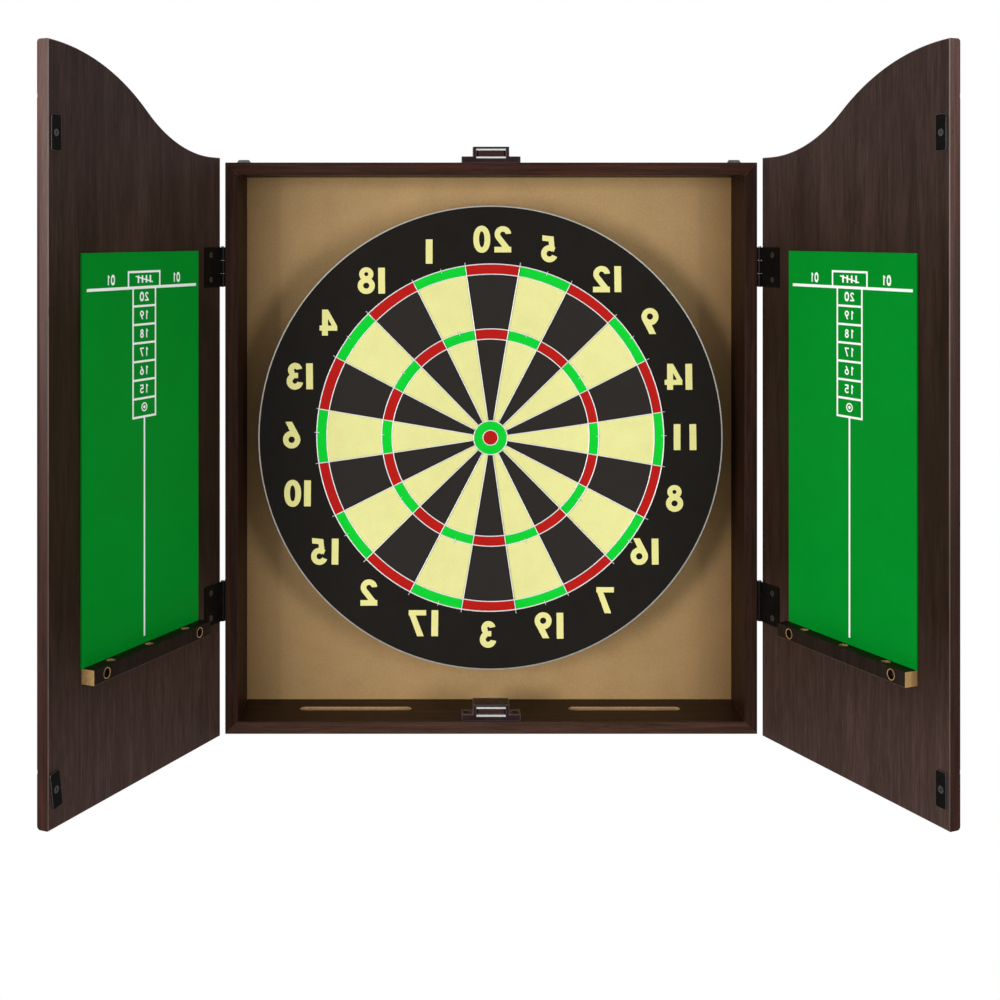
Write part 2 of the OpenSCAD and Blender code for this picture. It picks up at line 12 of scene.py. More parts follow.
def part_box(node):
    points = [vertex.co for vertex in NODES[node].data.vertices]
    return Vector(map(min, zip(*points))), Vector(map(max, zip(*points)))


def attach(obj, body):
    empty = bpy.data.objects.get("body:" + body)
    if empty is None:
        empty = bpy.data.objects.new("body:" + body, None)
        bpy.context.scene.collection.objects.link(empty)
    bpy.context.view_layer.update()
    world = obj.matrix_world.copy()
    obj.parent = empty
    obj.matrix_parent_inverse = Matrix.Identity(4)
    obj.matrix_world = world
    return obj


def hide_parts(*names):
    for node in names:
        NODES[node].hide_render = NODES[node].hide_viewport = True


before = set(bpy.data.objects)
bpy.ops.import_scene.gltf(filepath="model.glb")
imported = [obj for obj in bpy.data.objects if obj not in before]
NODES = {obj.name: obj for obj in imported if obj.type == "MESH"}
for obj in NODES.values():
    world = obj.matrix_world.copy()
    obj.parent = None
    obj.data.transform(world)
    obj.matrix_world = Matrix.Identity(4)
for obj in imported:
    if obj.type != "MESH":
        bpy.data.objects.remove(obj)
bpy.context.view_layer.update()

MM = 0.001
MIRROR_PRINT = True      # the reference view is a mirror image, so all printing reads from right to left
scene = bpy.context.scene

# --------------------------------------------------------------------------- places taken from the frame
b0, b1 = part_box("sisal_disc")
BX, BZ = (b0.x + b1.x) / 2, (b0.z + b1.z) / 2          # centre of the dart board
FACE_Y = b0.y                                          # front of the sisal
PRINT_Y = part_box("cream_beds")[0].y                    # front of the printed beds


class Door:
    """Door coordinates: u from the hinge pin along the leaf, n out of its inner face, z up."""

    def __init__(self, side):
        self.side = side
        sx = -1 if side == "left" else 1
        angle = math.radians(114.0 if side == "left" else 113.7)
        self.o = Vector((sx * 258.4 * MM, -80.9 * MM, 0))
        self.u = Vector((-sx * math.cos(angle), -math.sin(angle), 0))
        self.n = Vector((-sx * math.sin(angle), math.cos(angle), 0))
        self.body = side + "_door"

    def at(self, u, n, z):
        return self.o + self.u * u * MM + self.n * n * MM + Vector((0, 0, z * MM))


DOORS = {s: Door(s) for s in ("left", "right")}

# --------------------------------------------------------------------------- camera
cam_data = bpy.data.cameras.new("camera")
cam = bpy.data.objects.new("camera", cam_data)
scene.collection.objects.link(cam)
cam.location = (-0.04207, -1.5357, 0.20823)
cam.rotation_euler = (math.pi / 2, 0, 0)
cam_data.sensor_width = 36.0
cam_data.lens = 54.44
cam_data.shift_x = 0.05255
cam_data.shift_y = -0.26813
cam_data.clip_start = 0.05
cam_data.clip_end = 60.0
scene.camera = cam
scene.view_settings.view_transform = "Standard"
scene.view_settings.look = "None"


# --------------------------------------------------------------------------- node helpers
class Mat:
    def __init__(self, name):
        self.m = bpy.data.materials.new(name)
        self.m.use_nodes = True
        self.t = self.m.node_tree
        self.t.nodes.clear()
        self.out = self.t.nodes.new("ShaderNodeOutputMaterial")
        self.b = self.t.nodes.new("ShaderNodeBsdfPrincipled")
        self.t.links.new(self.b.outputs[0], self.out.inputs[0])
        self.co = self.t.nodes.new("ShaderNodeTexCoord").outputs["Object"]

    def set(self, **values):
        for k, v in values.items():
            self.b.inputs[k.replace("_", " ")].default_value = v
        return self

    def _in(self, socket, value):
        if isinstance(value, bpy.types.NodeSocket):
            self.t.links.new(value, socket)
        elif value is not None:
            socket.default_value = value

    def map(self, scale=(1, 1, 1), loc=(0, 0, 0), rot=(0, 0, 0), vec=None):
        n = self.t.nodes.new("ShaderNodeMapping")
        self._in(n.inputs["Vector"], vec or self.co)
        n.inputs["Scale"].default_value = scale
        n.inputs["Location"].default_value = loc
        n.inputs["Rotation"].default_value = rot
        return n.outputs[0]

    def noise(self, vec, scale, detail=2.0, rough=0.5, dist=0.0):
        n = self.t.nodes.new("ShaderNodeTexNoise")
        self._in(n.inputs["Vector"], vec)
        n.inputs["Scale"].default_value = scale
        n.inputs["Detail"].default_value = detail
        n.inputs["Roughness"].default_value = rough
        n.inputs["Distortion"].default_value = dist
        return n.outputs[0]

    def voronoi(self, vec, scale, feature="F1", rand=1.0):
        n = self.t.nodes.new("ShaderNodeTexVoronoi")
        n.feature = feature
        self._in(n.inputs["Vector"], vec)
        n.inputs["Scale"].default_value = scale
        n.inputs["Randomness"].default_value = rand
        return n.outputs["Distance"]

    def ramp(self, fac, stops, interp="LINEAR"):
        n = self.t.nodes.new("ShaderNodeValToRGB")
        n.color_ramp.interpolation = interp
        el = n.color_ramp.elements
        while len(el) > 1:
            el.remove(el[-1])
        for i, (p, c) in enumerate(stops):
            c = (c, c, c, 1) if isinstance(c, (int, float)) else (*c, 1)
            e = el[0] if i == 0 else el.new(p)
            e.position = p
            e.color = c
        self._in(n.inputs[0], fac)
        return n.outputs[0]

    def mix(self, fac, a, b, mode="MIX"):
        n = self.t.nodes.new("ShaderNodeMix")
        n.data_type = "RGBA"
        n.blend_type = mode
        self._in(n.inputs[0], fac)
        for s, v in ((n.inputs[6], a), (n.inputs[7], b)):
            self._in(s, (*v, 1) if isinstance(v, tuple) and len(v) == 3 else v)
        return n.outputs[2]

    def math(self, op, a, b=None, c=None, clamp=False):
        n = self.t.nodes.new("ShaderNodeMath")
        n.operation = op
        n.use_clamp = clamp
        self._in(n.inputs[0], a)
        self._in(n.inputs[1], b)
        self._in(n.inputs[2], c)
        return n.outputs[0]

    def rng(self, v, a, b, c, d):
        n = self.t.nodes.new("ShaderNodeMapRange")
        self._in(n.inputs[0], v)
        for i, x in enumerate((a, b, c, d)):
            n.inputs[i + 1].default_value = x
        return n.outputs[0]

    def sep(self, vec=None):
        n = self.t.nodes.new("ShaderNodeSeparateXYZ")
        self._in(n.inputs[0], vec or self.co)
        return n.outputs

    def bump(self, height, strength, dist_mm, normal=None):
        n = self.t.nodes.new("ShaderNodeBump")
        n.inputs["Strength"].default_value = strength
        n.inputs["Distance"].default_value = dist_mm * MM
        self._in(n.inputs["Height"], height)
        self._in(n.inputs["Normal"], normal)
        return n.outputs[0]

    def color(self, v):
        self._in(self.b.inputs["Base Color"], v if isinstance(v, bpy.types.NodeSocket) else (*v, 1))
        return self

    def rough(self, v):
        self._in(self.b.inputs["Roughness"], v)
        return self

    def normal(self, v):
        self._in(self.b.inputs["Normal"], v)
        return self


def streaks(m, grain, along, scale, detail, rough, dist, shift):
    sc = [1.0, 1.0, 1.0]
    sc["XYZ".index(grain)] = along
    return m.noise(m.map(tuple(sc), (shift, shift * 0.7, shift * 1.3)), scale, detail, rough, dist)


def walnut(name, grain="Z", dark=(0.014, 0.0075, 0.0055), mid=(0.034, 0.0185, 0.0145), light=(0.062, 0.036, 0.029),
           red=0.0, rough=0.40, spec=0.32, shift=0.0, bump=0.30, painted_light_by_height=None, seam=False, inner=None):
    """Printed dark walnut foil: long fine fibres, wider figure bands, short pores."""
    m = Mat(name)
    fine = streaks(m, grain, 0.055, 760, 5, 0.62, 0.0, shift)
    mid_n = streaks(m, grain, 0.065, 170, 4, 0.60, 0.6, shift + 3.1)
    wide = streaks(m, grain, 0.11, 20, 3, 0.5, 1.6, shift + 7.7)
    f = m.math("ADD", m.math("MULTIPLY", fine, 0.42), m.math("ADD", m.math("MULTIPLY", mid_n, 0.36), m.math("MULTIPLY", wide, 0.24)))
    col = m.ramp(f, [(0.30, dark), (0.50, mid), (0.72, light)])
    pores = streaks(m, grain, 0.045, 1900, 2, 0.5, 0.0, shift + 11.0)
    gate = streaks(m, grain, 0.08, 60, 2, 0.5, 0.0, shift + 17.0)
    pore = m.math("MULTIPLY", m.rng(pores, 0.60, 0.69, 0.0, 1.0), m.rng(gate, 0.42, 0.62, 0.15, 1.0))
    col = m.mix(m.math("MULTIPLY", pore, 0.75), col, tuple(x * 0.45 for x in dark))
    if red:
        rd = streaks(m, grain, 0.022, 330, 3, 0.55, 0.2, shift + 23.0)
        col = m.mix(m.rng(rd, 0.50, 0.66, 0.0, red), col, (0.155, 0.048, 0.030))
    if painted_light_by_height:
        # painted light and shade by height, fitted to the reference view: bands of painted sheen and shade, not a tone
        # of the foil
        z = m.math("ADD", m.sep()[2], m.math("MULTIPLY", m.math("SUBTRACT", wide, 0.5), 0.10))
        col = m.mix(1.0, col, m.ramp(m.rng(z, -0.32, 0.40, 0.0, 1.0), painted_light_by_height), "MULTIPLY")
    if inner:
        # painted shade: darker behind the front edge, inside the box, fitted to the reference view
        col = m.mix(m.rng(m.sep()[1], -0.0804, -0.0796, 0.0, 1.0), col, m.mix(1.0, col, inner, "MULTIPLY"))
    if seam:
        # hairline of bare edge where the four boards meet
        s = m.sep()
        gap = m.math("ABSOLUTE", m.math("ADD", m.math("SUBTRACT", m.math("ABSOLUTE", s[0]), m.math("ABSOLUTE", s[2])), 0.019))
        chip = m.noise(m.co, 120, 3, 0.6)
        line = m.math("LESS_THAN", gap, m.rng(chip, 0.35, 0.65, 0.00012, 0.00034))
        col = m.mix(m.math("MULTIPLY", line, 0.8), col, (0.17, 0.115, 0.078))
    m.color(col)
    m.rough(m.math("ADD", m.math("MULTIPLY", pore, 0.18), m.rng(mid_n, 0.3, 0.7, rough - 0.05, rough + 0.07)))
    h = m.math("SUBTRACT", m.math("MULTIPLY", fine, 0.6), pore)
    m.normal(m.bump(h, bump, 0.05))
    m.b.inputs["Specular IOR Level"].default_value = spec
    return m.m


def rawboard(name, base=(0.40, 0.265, 0.13), contrast=0.16, scale=1.0, fibre=None, spec=0.12, painted_shade=False):
    """Bare pressed board: fine fibre speckle with soft clouds."""
    m = Mat(name)
    sp = m.noise(m.co, 1500 * scale, 4, 0.7)
    cl = m.noise(m.map(loc=(1.3, 2.1, 0.4)), 34 * scale, 4, 0.55)
    flk = m.voronoi(m.map((1, 1, 0.8), (0.2, 0.4, 0.9)), 640 * scale)
    f = m.math("ADD", m.math("MULTIPLY", sp, 0.50), m.math("ADD", m.math("MULTIPLY", cl, 0.34), m.math("MULTIPLY", flk, 0.22)))
    lo = tuple(x * (1 - contrast * 1.6) for x in base)
    hi = tuple(min(1, x * (1 + contrast)) for x in base)
    col = m.ramp(f, [(0.32, lo), (0.52, base), (0.72, hi)])
    if fibre:
        g = streaks(m, fibre, 0.05, 420, 4, 0.6, 0.2, 5.0)
        col = m.mix(m.rng(g, 0.42, 0.64, 0.0, 0.55), col, tuple(x * 0.62 for x in base))
    if painted_shade:
        # painted shade: darker towards the sides and foot, where the side boards, doors and board shade the panel;
        # fitted to the reference view
        s = m.sep()
        side_ = m.math("ADD", m.math("ABSOLUTE", s[0]), m.math("MULTIPLY", m.math("SUBTRACT", cl, 0.5), 0.03))
        col = m.mix(1.0, col, m.ramp(m.rng(side_, 0.195, 0.245, 0.0, 1.0), [(0.0, (1.0, 1.0, 1.0)), (0.40, (0.90, 0.885, 0.87)), (1.0, (0.60, 0.56, 0.50))]), "MULTIPLY")
        foot = m.math("ADD", s[2], m.math("MULTIPLY", m.math("SUBTRACT", cl, 0.5), 0.05))
        col = m.mix(1.0, col, m.ramp(m.rng(foot, -0.263, -0.10, 0.0, 1.0), [(0.0, (0.86, 0.84, 0.80)), (1.0, (1.0, 1.0, 1.0))]), "MULTIPLY")
    m.color(col)
    m.rough(m.rng(sp, 0.3, 0.7, 0.78, 0.95))
    m.normal(m.bump(sp, 0.35, 0.08, m.bump(cl, 0.15, 0.3)))
    m.b.inputs["Specular IOR Level"].default_value = spec
    return m.m


def sisal(name, base, deep, spec=0.06, rough=0.86, radial=None):
    """End grain of packed sisal: thousands of cut fibre ends, printed over."""
    m = Mat(name)
    ends = m.voronoi(m.map((1, 0.25, 1)), 2300)
    tuft = m.noise(m.map(loc=(0.7, 0.1, 0.3)), 900, 5, 0.7)
    cloud = m.noise(m.map(loc=(3.7, 1.1, 0.9)), 60, 4, 0.6)
    f = m.math("ADD", m.math("MULTIPLY", tuft, 0.55), m.math("ADD", m.math("MULTIPLY", cloud, 0.30), m.math("MULTIPLY", ends, 0.25)))
    col = m.ramp(f, [(0.30, deep), (0.52, base), (0.75, tuple(min(1.0, x * 1.10) for x in base))])
    if radial:
        s = m.sep()
        dx = m.math("SUBTRACT", s[0], BX)
        dz = m.math("SUBTRACT", s[2], BZ)
        r = m.math("SQRT", m.math("ADD", m.math("MULTIPLY", dx, dx), m.math("MULTIPLY", dz, dz)))
        inner = m.rng(r, 0.1695, 0.1705, 1.0, 0.0)
        col = m.mix(inner, col, m.mix(0.5, col, radial, "ADD"))
    fleck = m.noise(m.map(loc=(9.1, 4.4, 2.2)), 420, 2, 0.5)
    col = m.mix(m.rng(fleck, 0.70, 0.76, 0.0, 0.35), col, tuple(min(1.0, x * 1.5 + 0.015) for x in base))
    m.color(col)
    m.rough(m.rng(tuft, 0.3, 0.7, rough - 0.06, rough + 0.08))
    m.normal(m.bump(m.math("ADD", ends, tuft), 0.30, 0.10))
    m.b.inputs["Specular IOR Level"].default_value = spec
    return m.m


def painted(name, base, rough=0.38, spec=0.25, metallic=0.0, coat=0.0, grain_scale=1500, depth=0.03, strength=0.25):
    """Lacquer or plastic with orange peel, smudges and fine scratches."""
    m = Mat(name)
    peel = m.noise(m.co, grain_scale, 3, 0.55)
    smudge = m.noise(m.map(loc=(1.9, 0.3, 2.2)), 70, 4, 0.6, 0.4)
    scr = m.noise(m.map((1, 1, 0.05), (0.4, 0.2, 0.1), (0.3, 0.5, 0.2)), 1800, 2, 0.5)
    col = m.mix(m.rng(smudge, 0.35, 0.7, 0.0, 0.5), base, tuple(min(1, x * 1.5 + 0.004) for x in base))
    m.color(col)
    m.rough(m.math("ADD", m.rng(smudge, 0.3, 0.7, rough - 0.07, rough + 0.09), m.math("MULTIPLY", m.rng(scr, 0.62, 0.72, 0.0, 1.0), 0.12)))
    m.normal(m.bump(peel, strength, depth))
    m.set(Metallic=metallic, Coat_Weight=coat)
    m.b.inputs["Specular IOR Level"].default_value = spec
    return m.m


def steel(name, base, rough=0.28, brush="X", tint=(0.5, 0.5, 0.52), metallic=1.0, pits=0.35):
    """Plated or drawn steel: brushed lines, cloudy plating, small dull spots."""
    m = Mat(name)
    lines = streaks(m, brush, 0.03, 2600, 3, 0.6, 0.0, 2.0)
    cloud = m.noise(m.map(loc=(0.5, 1.7, 0.2)), 160, 4, 0.6)
    spot = m.noise(m.map(loc=(5.1, 0.9, 3.3)), 620, 3, 0.6)
    dull = m.rng(spot, 0.60, 0.72, 0.0, pits)
    col = m.mix(m.rng(cloud, 0.35, 0.7, 0.0, 0.6), base, tint)
    col = m.mix(dull, col, tuple(x * 0.45 for x in tint))
    m.color(col)
    m.rough(m.math("ADD", m.rng(lines, 0.3, 0.7, rough - 0.06, rough + 0.10), m.math("MULTIPLY", dull, 0.3)))
    m.normal(m.bump(lines, 0.12, 0.02))
    m.set(Metallic=metallic)
    return m.m


def laminate(name):
    """Green score sheet: smooth satin laminate, faint chalk haze and fine scratches."""
    m = Mat(name)
    haze = m.noise(m.map(loc=(2.2, 0.4, 1.1)), 16, 4, 0.6, 0.6)
    fine = m.noise(m.co, 2400, 3, 0.6)
    rub = m.noise(m.map((1, 1, 0.12), (0.4, 0.1, 0.6), (0.0, 0.35, 0.0)), 260, 4, 0.6)
    col = m.ramp(m.math("ADD", m.math("MULTIPLY", haze, 0.75), m.math("MULTIPLY", fine, 0.25)),
                 [(0.30, (0.0, 0.232, 0.0180)), (0.52, (0.0, 0.246, 0.0200)), (0.74, (0.0, 0.260, 0.0230))])
    col = m.mix(m.rng(rub, 0.60, 0.78, 0.0, 0.08), col, (0.01, 0.30, 0.06))
    m.color(col)
    m.rough(m.rng(haze, 0.3, 0.7, 0.34, 0.46))
    m.normal(m.bump(fine, 0.12, 0.03))
    m.b.inputs["Specular IOR Level"].default_value = 0.04
    return m.m


def ink(name, base, back, spec=0.2, grain_scale=1100):
    """Screen print: nearly even colour, slightly broken where the ink is thin."""
    m = Mat(name)
    thin = m.noise(m.co, grain_scale, 4, 0.65)
    patch = m.noise(m.map(loc=(0.9, 2.0, 1.2)), 55, 3, 0.5)
    col = m.mix(m.rng(m.math("ADD", m.math("MULTIPLY", thin, 0.7), m.math("MULTIPLY", patch, 0.3)), 0.52, 0.78, 0.0, 0.55), base, back)
    m.color(col)
    m.rough(m.rng(thin, 0.3, 0.7, 0.5, 0.7))
    m.normal(m.bump(thin, 0.25, 0.04))
    m.b.inputs["Specular IOR Level"].default_value = spec
    return m.m


# --------------------------------------------------------------------------- materials
M = {
    # door foils: painted sheen towards the top and foot, painted shade across the middle
    "door_face": walnut("door_face_foil", "Z", dark=(0.0125, 0.0064, 0.0046), mid=(0.031, 0.0165, 0.0125), light=(0.060, 0.034, 0.027), rough=0.44, spec=0.14, shift=0.0,
                        painted_light_by_height=[(0.0, (1.65, 1.70, 1.85)), (0.16, (1.45, 1.45, 1.55)), (0.30, (0.62, 0.56, 0.44)), (0.62, (0.62, 0.56, 0.46)), (0.80, (1.25, 1.28, 1.38)), (1.0, (1.25, 1.28, 1.38))]),
    # door edge bands: painted shade low down, painted highlight towards the top
    "door_edge": walnut("door_edge_band", "Z", dark=(0.026, 0.0110, 0.0078), mid=(0.056, 0.0260, 0.0200), light=(0.108, 0.0580, 0.0480), red=0.5, rough=0.36, spec=0.16, shift=4.0,
                        painted_light_by_height=[(0.0, (0.46, 0.33, 0.30)), (0.25, (0.38, 0.27, 0.23)), (0.55, (0.50, 0.36, 0.30)), (0.78, (1.05, 1.02, 1.02)), (1.0, (1.40, 1.50, 1.60))]),
    # rounded door corners: painted highlight, lighter towards the top; the racks' bare hairline uses this foil too
    "highlight_and_bare_line": walnut("corner_highlight_and_bare_edge", "Z", dark=(0.060, 0.036, 0.028), mid=(0.135, 0.095, 0.082), light=(0.22, 0.160, 0.135), rough=0.40, spec=0.3, shift=6.0,
                        painted_light_by_height=[(0.0, (0.62, 0.54, 0.52)), (0.35, (0.56, 0.49, 0.44)), (0.70, (1.05, 1.0, 1.0)), (1.0, (1.30, 1.30, 1.33))]),
    # box foils: painted shade behind the front edge, inside the box
    "box_v": walnut("box_foil_upright", "Z", dark=(0.0095, 0.0040, 0.0024), mid=(0.0225, 0.0098, 0.0066), light=(0.045, 0.0215, 0.0150), red=0.10, rough=0.46, spec=0.07, shift=9.0, seam=True, inner=(0.72, 0.62, 0.50)),
    # top and floor boards: also painted light by height, lighter towards the floor board
    "box_h": walnut("box_foil_level", "X", dark=(0.0110, 0.0048, 0.0030), mid=(0.0310, 0.0150, 0.0098), light=(0.056, 0.0290, 0.0200), red=0.16, rough=0.44, spec=0.10, shift=12.0, seam=True, inner=(0.58, 0.47, 0.38),
                    painted_light_by_height=[(0.0, (1.45, 1.45, 1.45)), (0.2, (1.45, 1.45, 1.45)), (0.6, (0.95, 0.74, 0.62)), (1.0, (0.95, 0.74, 0.62))]),
    "rack": walnut("rack_foil", "Z", dark=(0.0060, 0.0034, 0.0026), mid=(0.0135, 0.0078, 0.0058), light=(0.026, 0.0160, 0.0125), shift=15.0, rough=0.50, spec=0.10),
    # back panel: painted shade towards the sides and foot
    "tan": rawboard("panel_hardboard", (0.50, 0.322, 0.150), 0.12, painted_shade=True),
    "raw": rawboard("raw_particle_core", (0.43, 0.262, 0.105), 0.26, 0.8, fibre="Z"),
    "raw_x": rawboard("raw_slot_core", (0.50, 0.31, 0.15), 0.22, 0.8, fibre="X"),
    "black": painted("hinge_lacquer", (0.0026, 0.0022, 0.0019), 0.36, 0.08),
    # bevels of the black lacquer: painted highlight, far lighter than the lacquer
    "black_edge_highlight": painted("lacquer_painted_highlight", (0.085, 0.085, 0.092), 0.26, 0.4),
    "screw": steel("screw_black_zinc", (0.13, 0.127, 0.124), 0.22, "Y", (0.24, 0.235, 0.23), 0.9, 0.5),
    "zinc": steel("zinc_plate", (0.115, 0.118, 0.12), 0.42, "X", (0.075, 0.078, 0.08)),
    "pole": steel("pole_plate_steel", (0.88, 0.91, 0.90), 0.28, "X", (0.78, 0.81, 0.80), 0.55),
    "magnet": painted("ferrite", (0.036, 0.0125, 0.0110), 0.62, 0.12, grain_scale=900, depth=0.06, strength=0.5),
    "plastic": painted("catch_plastic", (0.0200, 0.0088, 0.0105), 0.28, 0.14, grain_scale=700),
    # bevels of the catch plastic: painted highlight, lighter than the plastic
    "plastic_edge_highlight": painted("catch_plastic_painted_highlight", (0.10, 0.076, 0.086), 0.22, 0.5, coat=0.2, grain_scale=700),
    "green_sheet": laminate("score_laminate"),
    "white_ink": ink("score_print", (0.94, 0.985, 0.96), (0.62, 0.86, 0.72)),
    "s_black": sisal("sisal_black_dye", (0.0135, 0.0115, 0.0100), (0.0070, 0.0056, 0.0048), radial=(0.024, 0.021, 0.020)),
    "s_cream": sisal("sisal_cream_dye", (0.765, 0.740, 0.315), (0.66, 0.63, 0.232)),
    "s_red": sisal("sisal_red_dye", (0.455, 0.0110, 0.0085), (0.32, 0.006, 0.005)),
    "s_green": sisal("sisal_green_dye", (0.0045, 0.600, 0.033), (0.0025, 0.43, 0.020)),
    "num": ink("numeral_print", (0.80, 0.755, 0.30), (0.62, 0.56, 0.20), 0.12),
    "wire": steel("spider_wire", (0.93, 0.93, 0.94), 0.34, "X", (0.84, 0.84, 0.86), 0.35, 0.10),
    "band": steel("rim_band", (0.62, 0.61, 0.57), 0.34, "Z", (0.44, 0.42, 0.37), 0.8, 0.3),
    "backing": rawboard("backing_board", (0.20, 0.145, 0.085), 0.2),
    "rubber": painted("rubber_foot", (0.012, 0.012, 0.012), 0.7, 0.2, grain_scale=600, depth=0.08, strength=0.4),
    "nylon": painted("nylon_bush", (0.72, 0.71, 0.66), 0.45, 0.35, grain_scale=500),
    "brass_brad": steel("brad_steel", (0.52, 0.50, 0.47), 0.38, "Z", (0.36, 0.34, 0.31)),
}

NODE_MATERIAL = {
    "top_board": "box_h", "bottom_board": "box_h", "left_side_board": "box_v", "right_side_board": "box_v",
    "back_panel": "tan", "rear_batten": "raw_x", "corner_brads": "brass_brad",
    "left_hanger_plate": "zinc", "right_hanger_plate": "zinc", "hanger_screws": "zinc",
    "board_bracket": "zinc", "bracket_screws": "zinc",
    "top_catch_housing": "plastic", "bottom_catch_housing": "plastic", "catch_magnets": "magnet",
    "catch_pole_plates": "pole", "catch_screws": "screw",
    "left_upper_box_leaf": "black", "left_lower_box_leaf": "black", "right_upper_box_leaf": "black", "right_lower_box_leaf": "black",
    "hinge_pins": "screw", "box_leaf_screws": "screw",
    "hanger_bush": "nylon", "centre_screw": "zinc", "backing_disc": "backing", "sisal_disc": "s_black",
    "steel_band": "band", "cream_beds": "s_cream", "red_beds": "s_red", "green_beds": "s_green",
    "spider_wires": "wire", "board_bumpers": "rubber",
}
for side in ("left", "right"):
    NODE_MATERIAL.update({
        side + "_door_panel": "door_face", side + "_upper_door_leaf": "black", side + "_lower_door_leaf": "black",
        side + "_leaf_screws": "screw", side + "_scoreboard": "green_sheet", side + "_score_lines": "white_ink",
        side + "_dart_rack": "rack", side + "_rack_screws": "screw", side + "_upper_striker": "black",
        side + "_lower_striker": "black", side + "_striker_screws": "screw",
    })

BEVEL = {  # edge rounding in mm
    "top_board": 0.4, "bottom_board": 0.4, "left_side_board": 0.4, "right_side_board": 0.4, "rear_batten": 0.5,
    "top_catch_housing": 0.4, "bottom_catch_housing": 0.4, "catch_magnets": 0.2, "catch_pole_plates": 0.15,
    "board_bumpers": 0.4, "left_scoreboard": 0.1, "right_scoreboard": 0.1,
    "left_upper_striker": 0.22, "left_lower_striker": 0.22, "right_upper_striker": 0.22, "right_lower_striker": 0.22,
}


def poly_data(o):
    me = o.data
    n = len(me.polygons)
    c = np.empty(n * 3)
    me.polygons.foreach_get("center", c)
    nn = np.empty(n * 3)
    me.polygons.foreach_get("normal", nn)
    return c.reshape(-1, 3), nn.reshape(-1, 3)


def dress(o, names, index=None):
    me = o.data
    me.materials.clear()
    for k in names:
        me.materials.append(M[k])
    if index is None:
        index = np.zeros(len(me.polygons), np.int32)
    me.polygons.foreach_set("material_index", index.astype(np.int32))
    me.update()


def soften(o, width=None, angle=32, segments=2, edge_material=-1, clamp=False):
    """Joins the split corners, rounds the edges where asked, and keeps only true corners sharp."""
    me = o.data
    if "custom_normal" in me.attributes:
        me.attributes.remove(me.attributes["custom_normal"])
    me.polygons.foreach_set("use_smooth", np.ones(len(me.polygons), bool))
    w = o.modifiers.new("weld", "WELD")
    w.merge_threshold = 0.000004
    if width:
        d = o.modifiers.new("flat", "DECIMATE")
        d.decimate_type = "DISSOLVE"
        d.angle_limit = math.radians(0.3)
        d.delimit = {"MATERIAL"}
        b = o.modifiers.new("edge", "BEVEL")
        b.width = width * MM
        b.segments = segments
        b.limit_method = "ANGLE"
        b.angle_limit = math.radians(angle)
        b.use_clamp_overlap = clamp
        b.loop_slide = False
        b.material = edge_material
        b.harden_normals = True
    else:
        e = o.modifiers.new("split", "EDGE_SPLIT")
        e.split_angle = math.radians(angle)
    me.update()


# bevel faces of the catch plastic and the black lacquer take their painted highlight material
EDGE = {"plastic": "plastic_edge_highlight", "black": "black_edge_highlight"}
for name, o in NODES.items():
    k = NODE_MATERIAL[name]
    lined = BEVEL.get(name) and k in EDGE
    dress(o, [k, EDGE[k]] if lined else [k])
    soften(o, BEVEL.get(name), edge_material=1 if lined else -1)

# doors: faces, banded edges, painted highlight on the rounded corner
for side, d in DOORS.items():
    o = NODES[side + "_door_panel"]
    c, nn = poly_data(o)
    inn = nn @ np.array(d.n)
    idx = np.ones(len(c), np.int32)
    idx[np.abs(inn) > 0.985] = 0
    # the rounded corner between face and edge takes the painted highlight
    idx[(inn > 0.4) & (inn < 0.9)] = 2
    idx[(inn < -0.55)] = 0
    dress(o, ["door_face", "door_edge", "highlight_and_bare_line"], idx)
    # rack: sawn ends and hole walls are bare board
    o = NODES[side + "_dart_rack"]
    c, nn = poly_data(o)
    u_of = (c - np.array(d.o)) @ np.array(d.u) / MM
    n_of = (c - np.array(d.o)) @ np.array(d.n) / MM
    along = nn @ np.array(d.u)
    lo, hi = u_of.min(), u_of.max()
    idx = np.zeros(len(c), np.int32)
    idx[(np.abs(along) > 0.99) & ((u_of < lo + 0.2) | (u_of > hi - 0.2))] = 1
    mid = (lo + hi) / 2
    inside_hole = np.zeros(len(c), bool)
    for k in (-56, 0, 56):
        inside_hole |= (np.hypot(u_of - (mid + k), n_of - 5.3) < 4.3) & (np.abs(nn[:, 2]) < 0.5)
    idx[inside_hole] = 1
    dress(o, ["rack", "raw"], idx)

# tray slots in the floor board show bare board
o = NODES["bottom_board"]
c, nn = poly_data(o)
idx = np.zeros(len(c), np.int32)
slot_zone = (np.abs(np.abs(c[:, 0]) - 0.1326) < 0.0556) & (np.abs(c[:, 1] + 0.0405) < 0.0056) & (c[:, 2] < -0.2631) & (c[:, 2] > -0.2695)
idx[slot_zone] = 1
idx[nn[:, 1] > 0.9] = 1
dress(o, ["box_h", "raw_x"], idx)
for n_ in ("top_board", "left_side_board", "right_side_board"):
    o = NODES[n_]
    c, nn = poly_data(o)
    idx = np.zeros(len(c), np.int32)
    idx[nn[:, 1] > 0.9] = 1
    dress(o, ["box_h" if n_ == "top_board" else "box_v", "raw_x" if n_ == "top_board" else "raw"], idx)


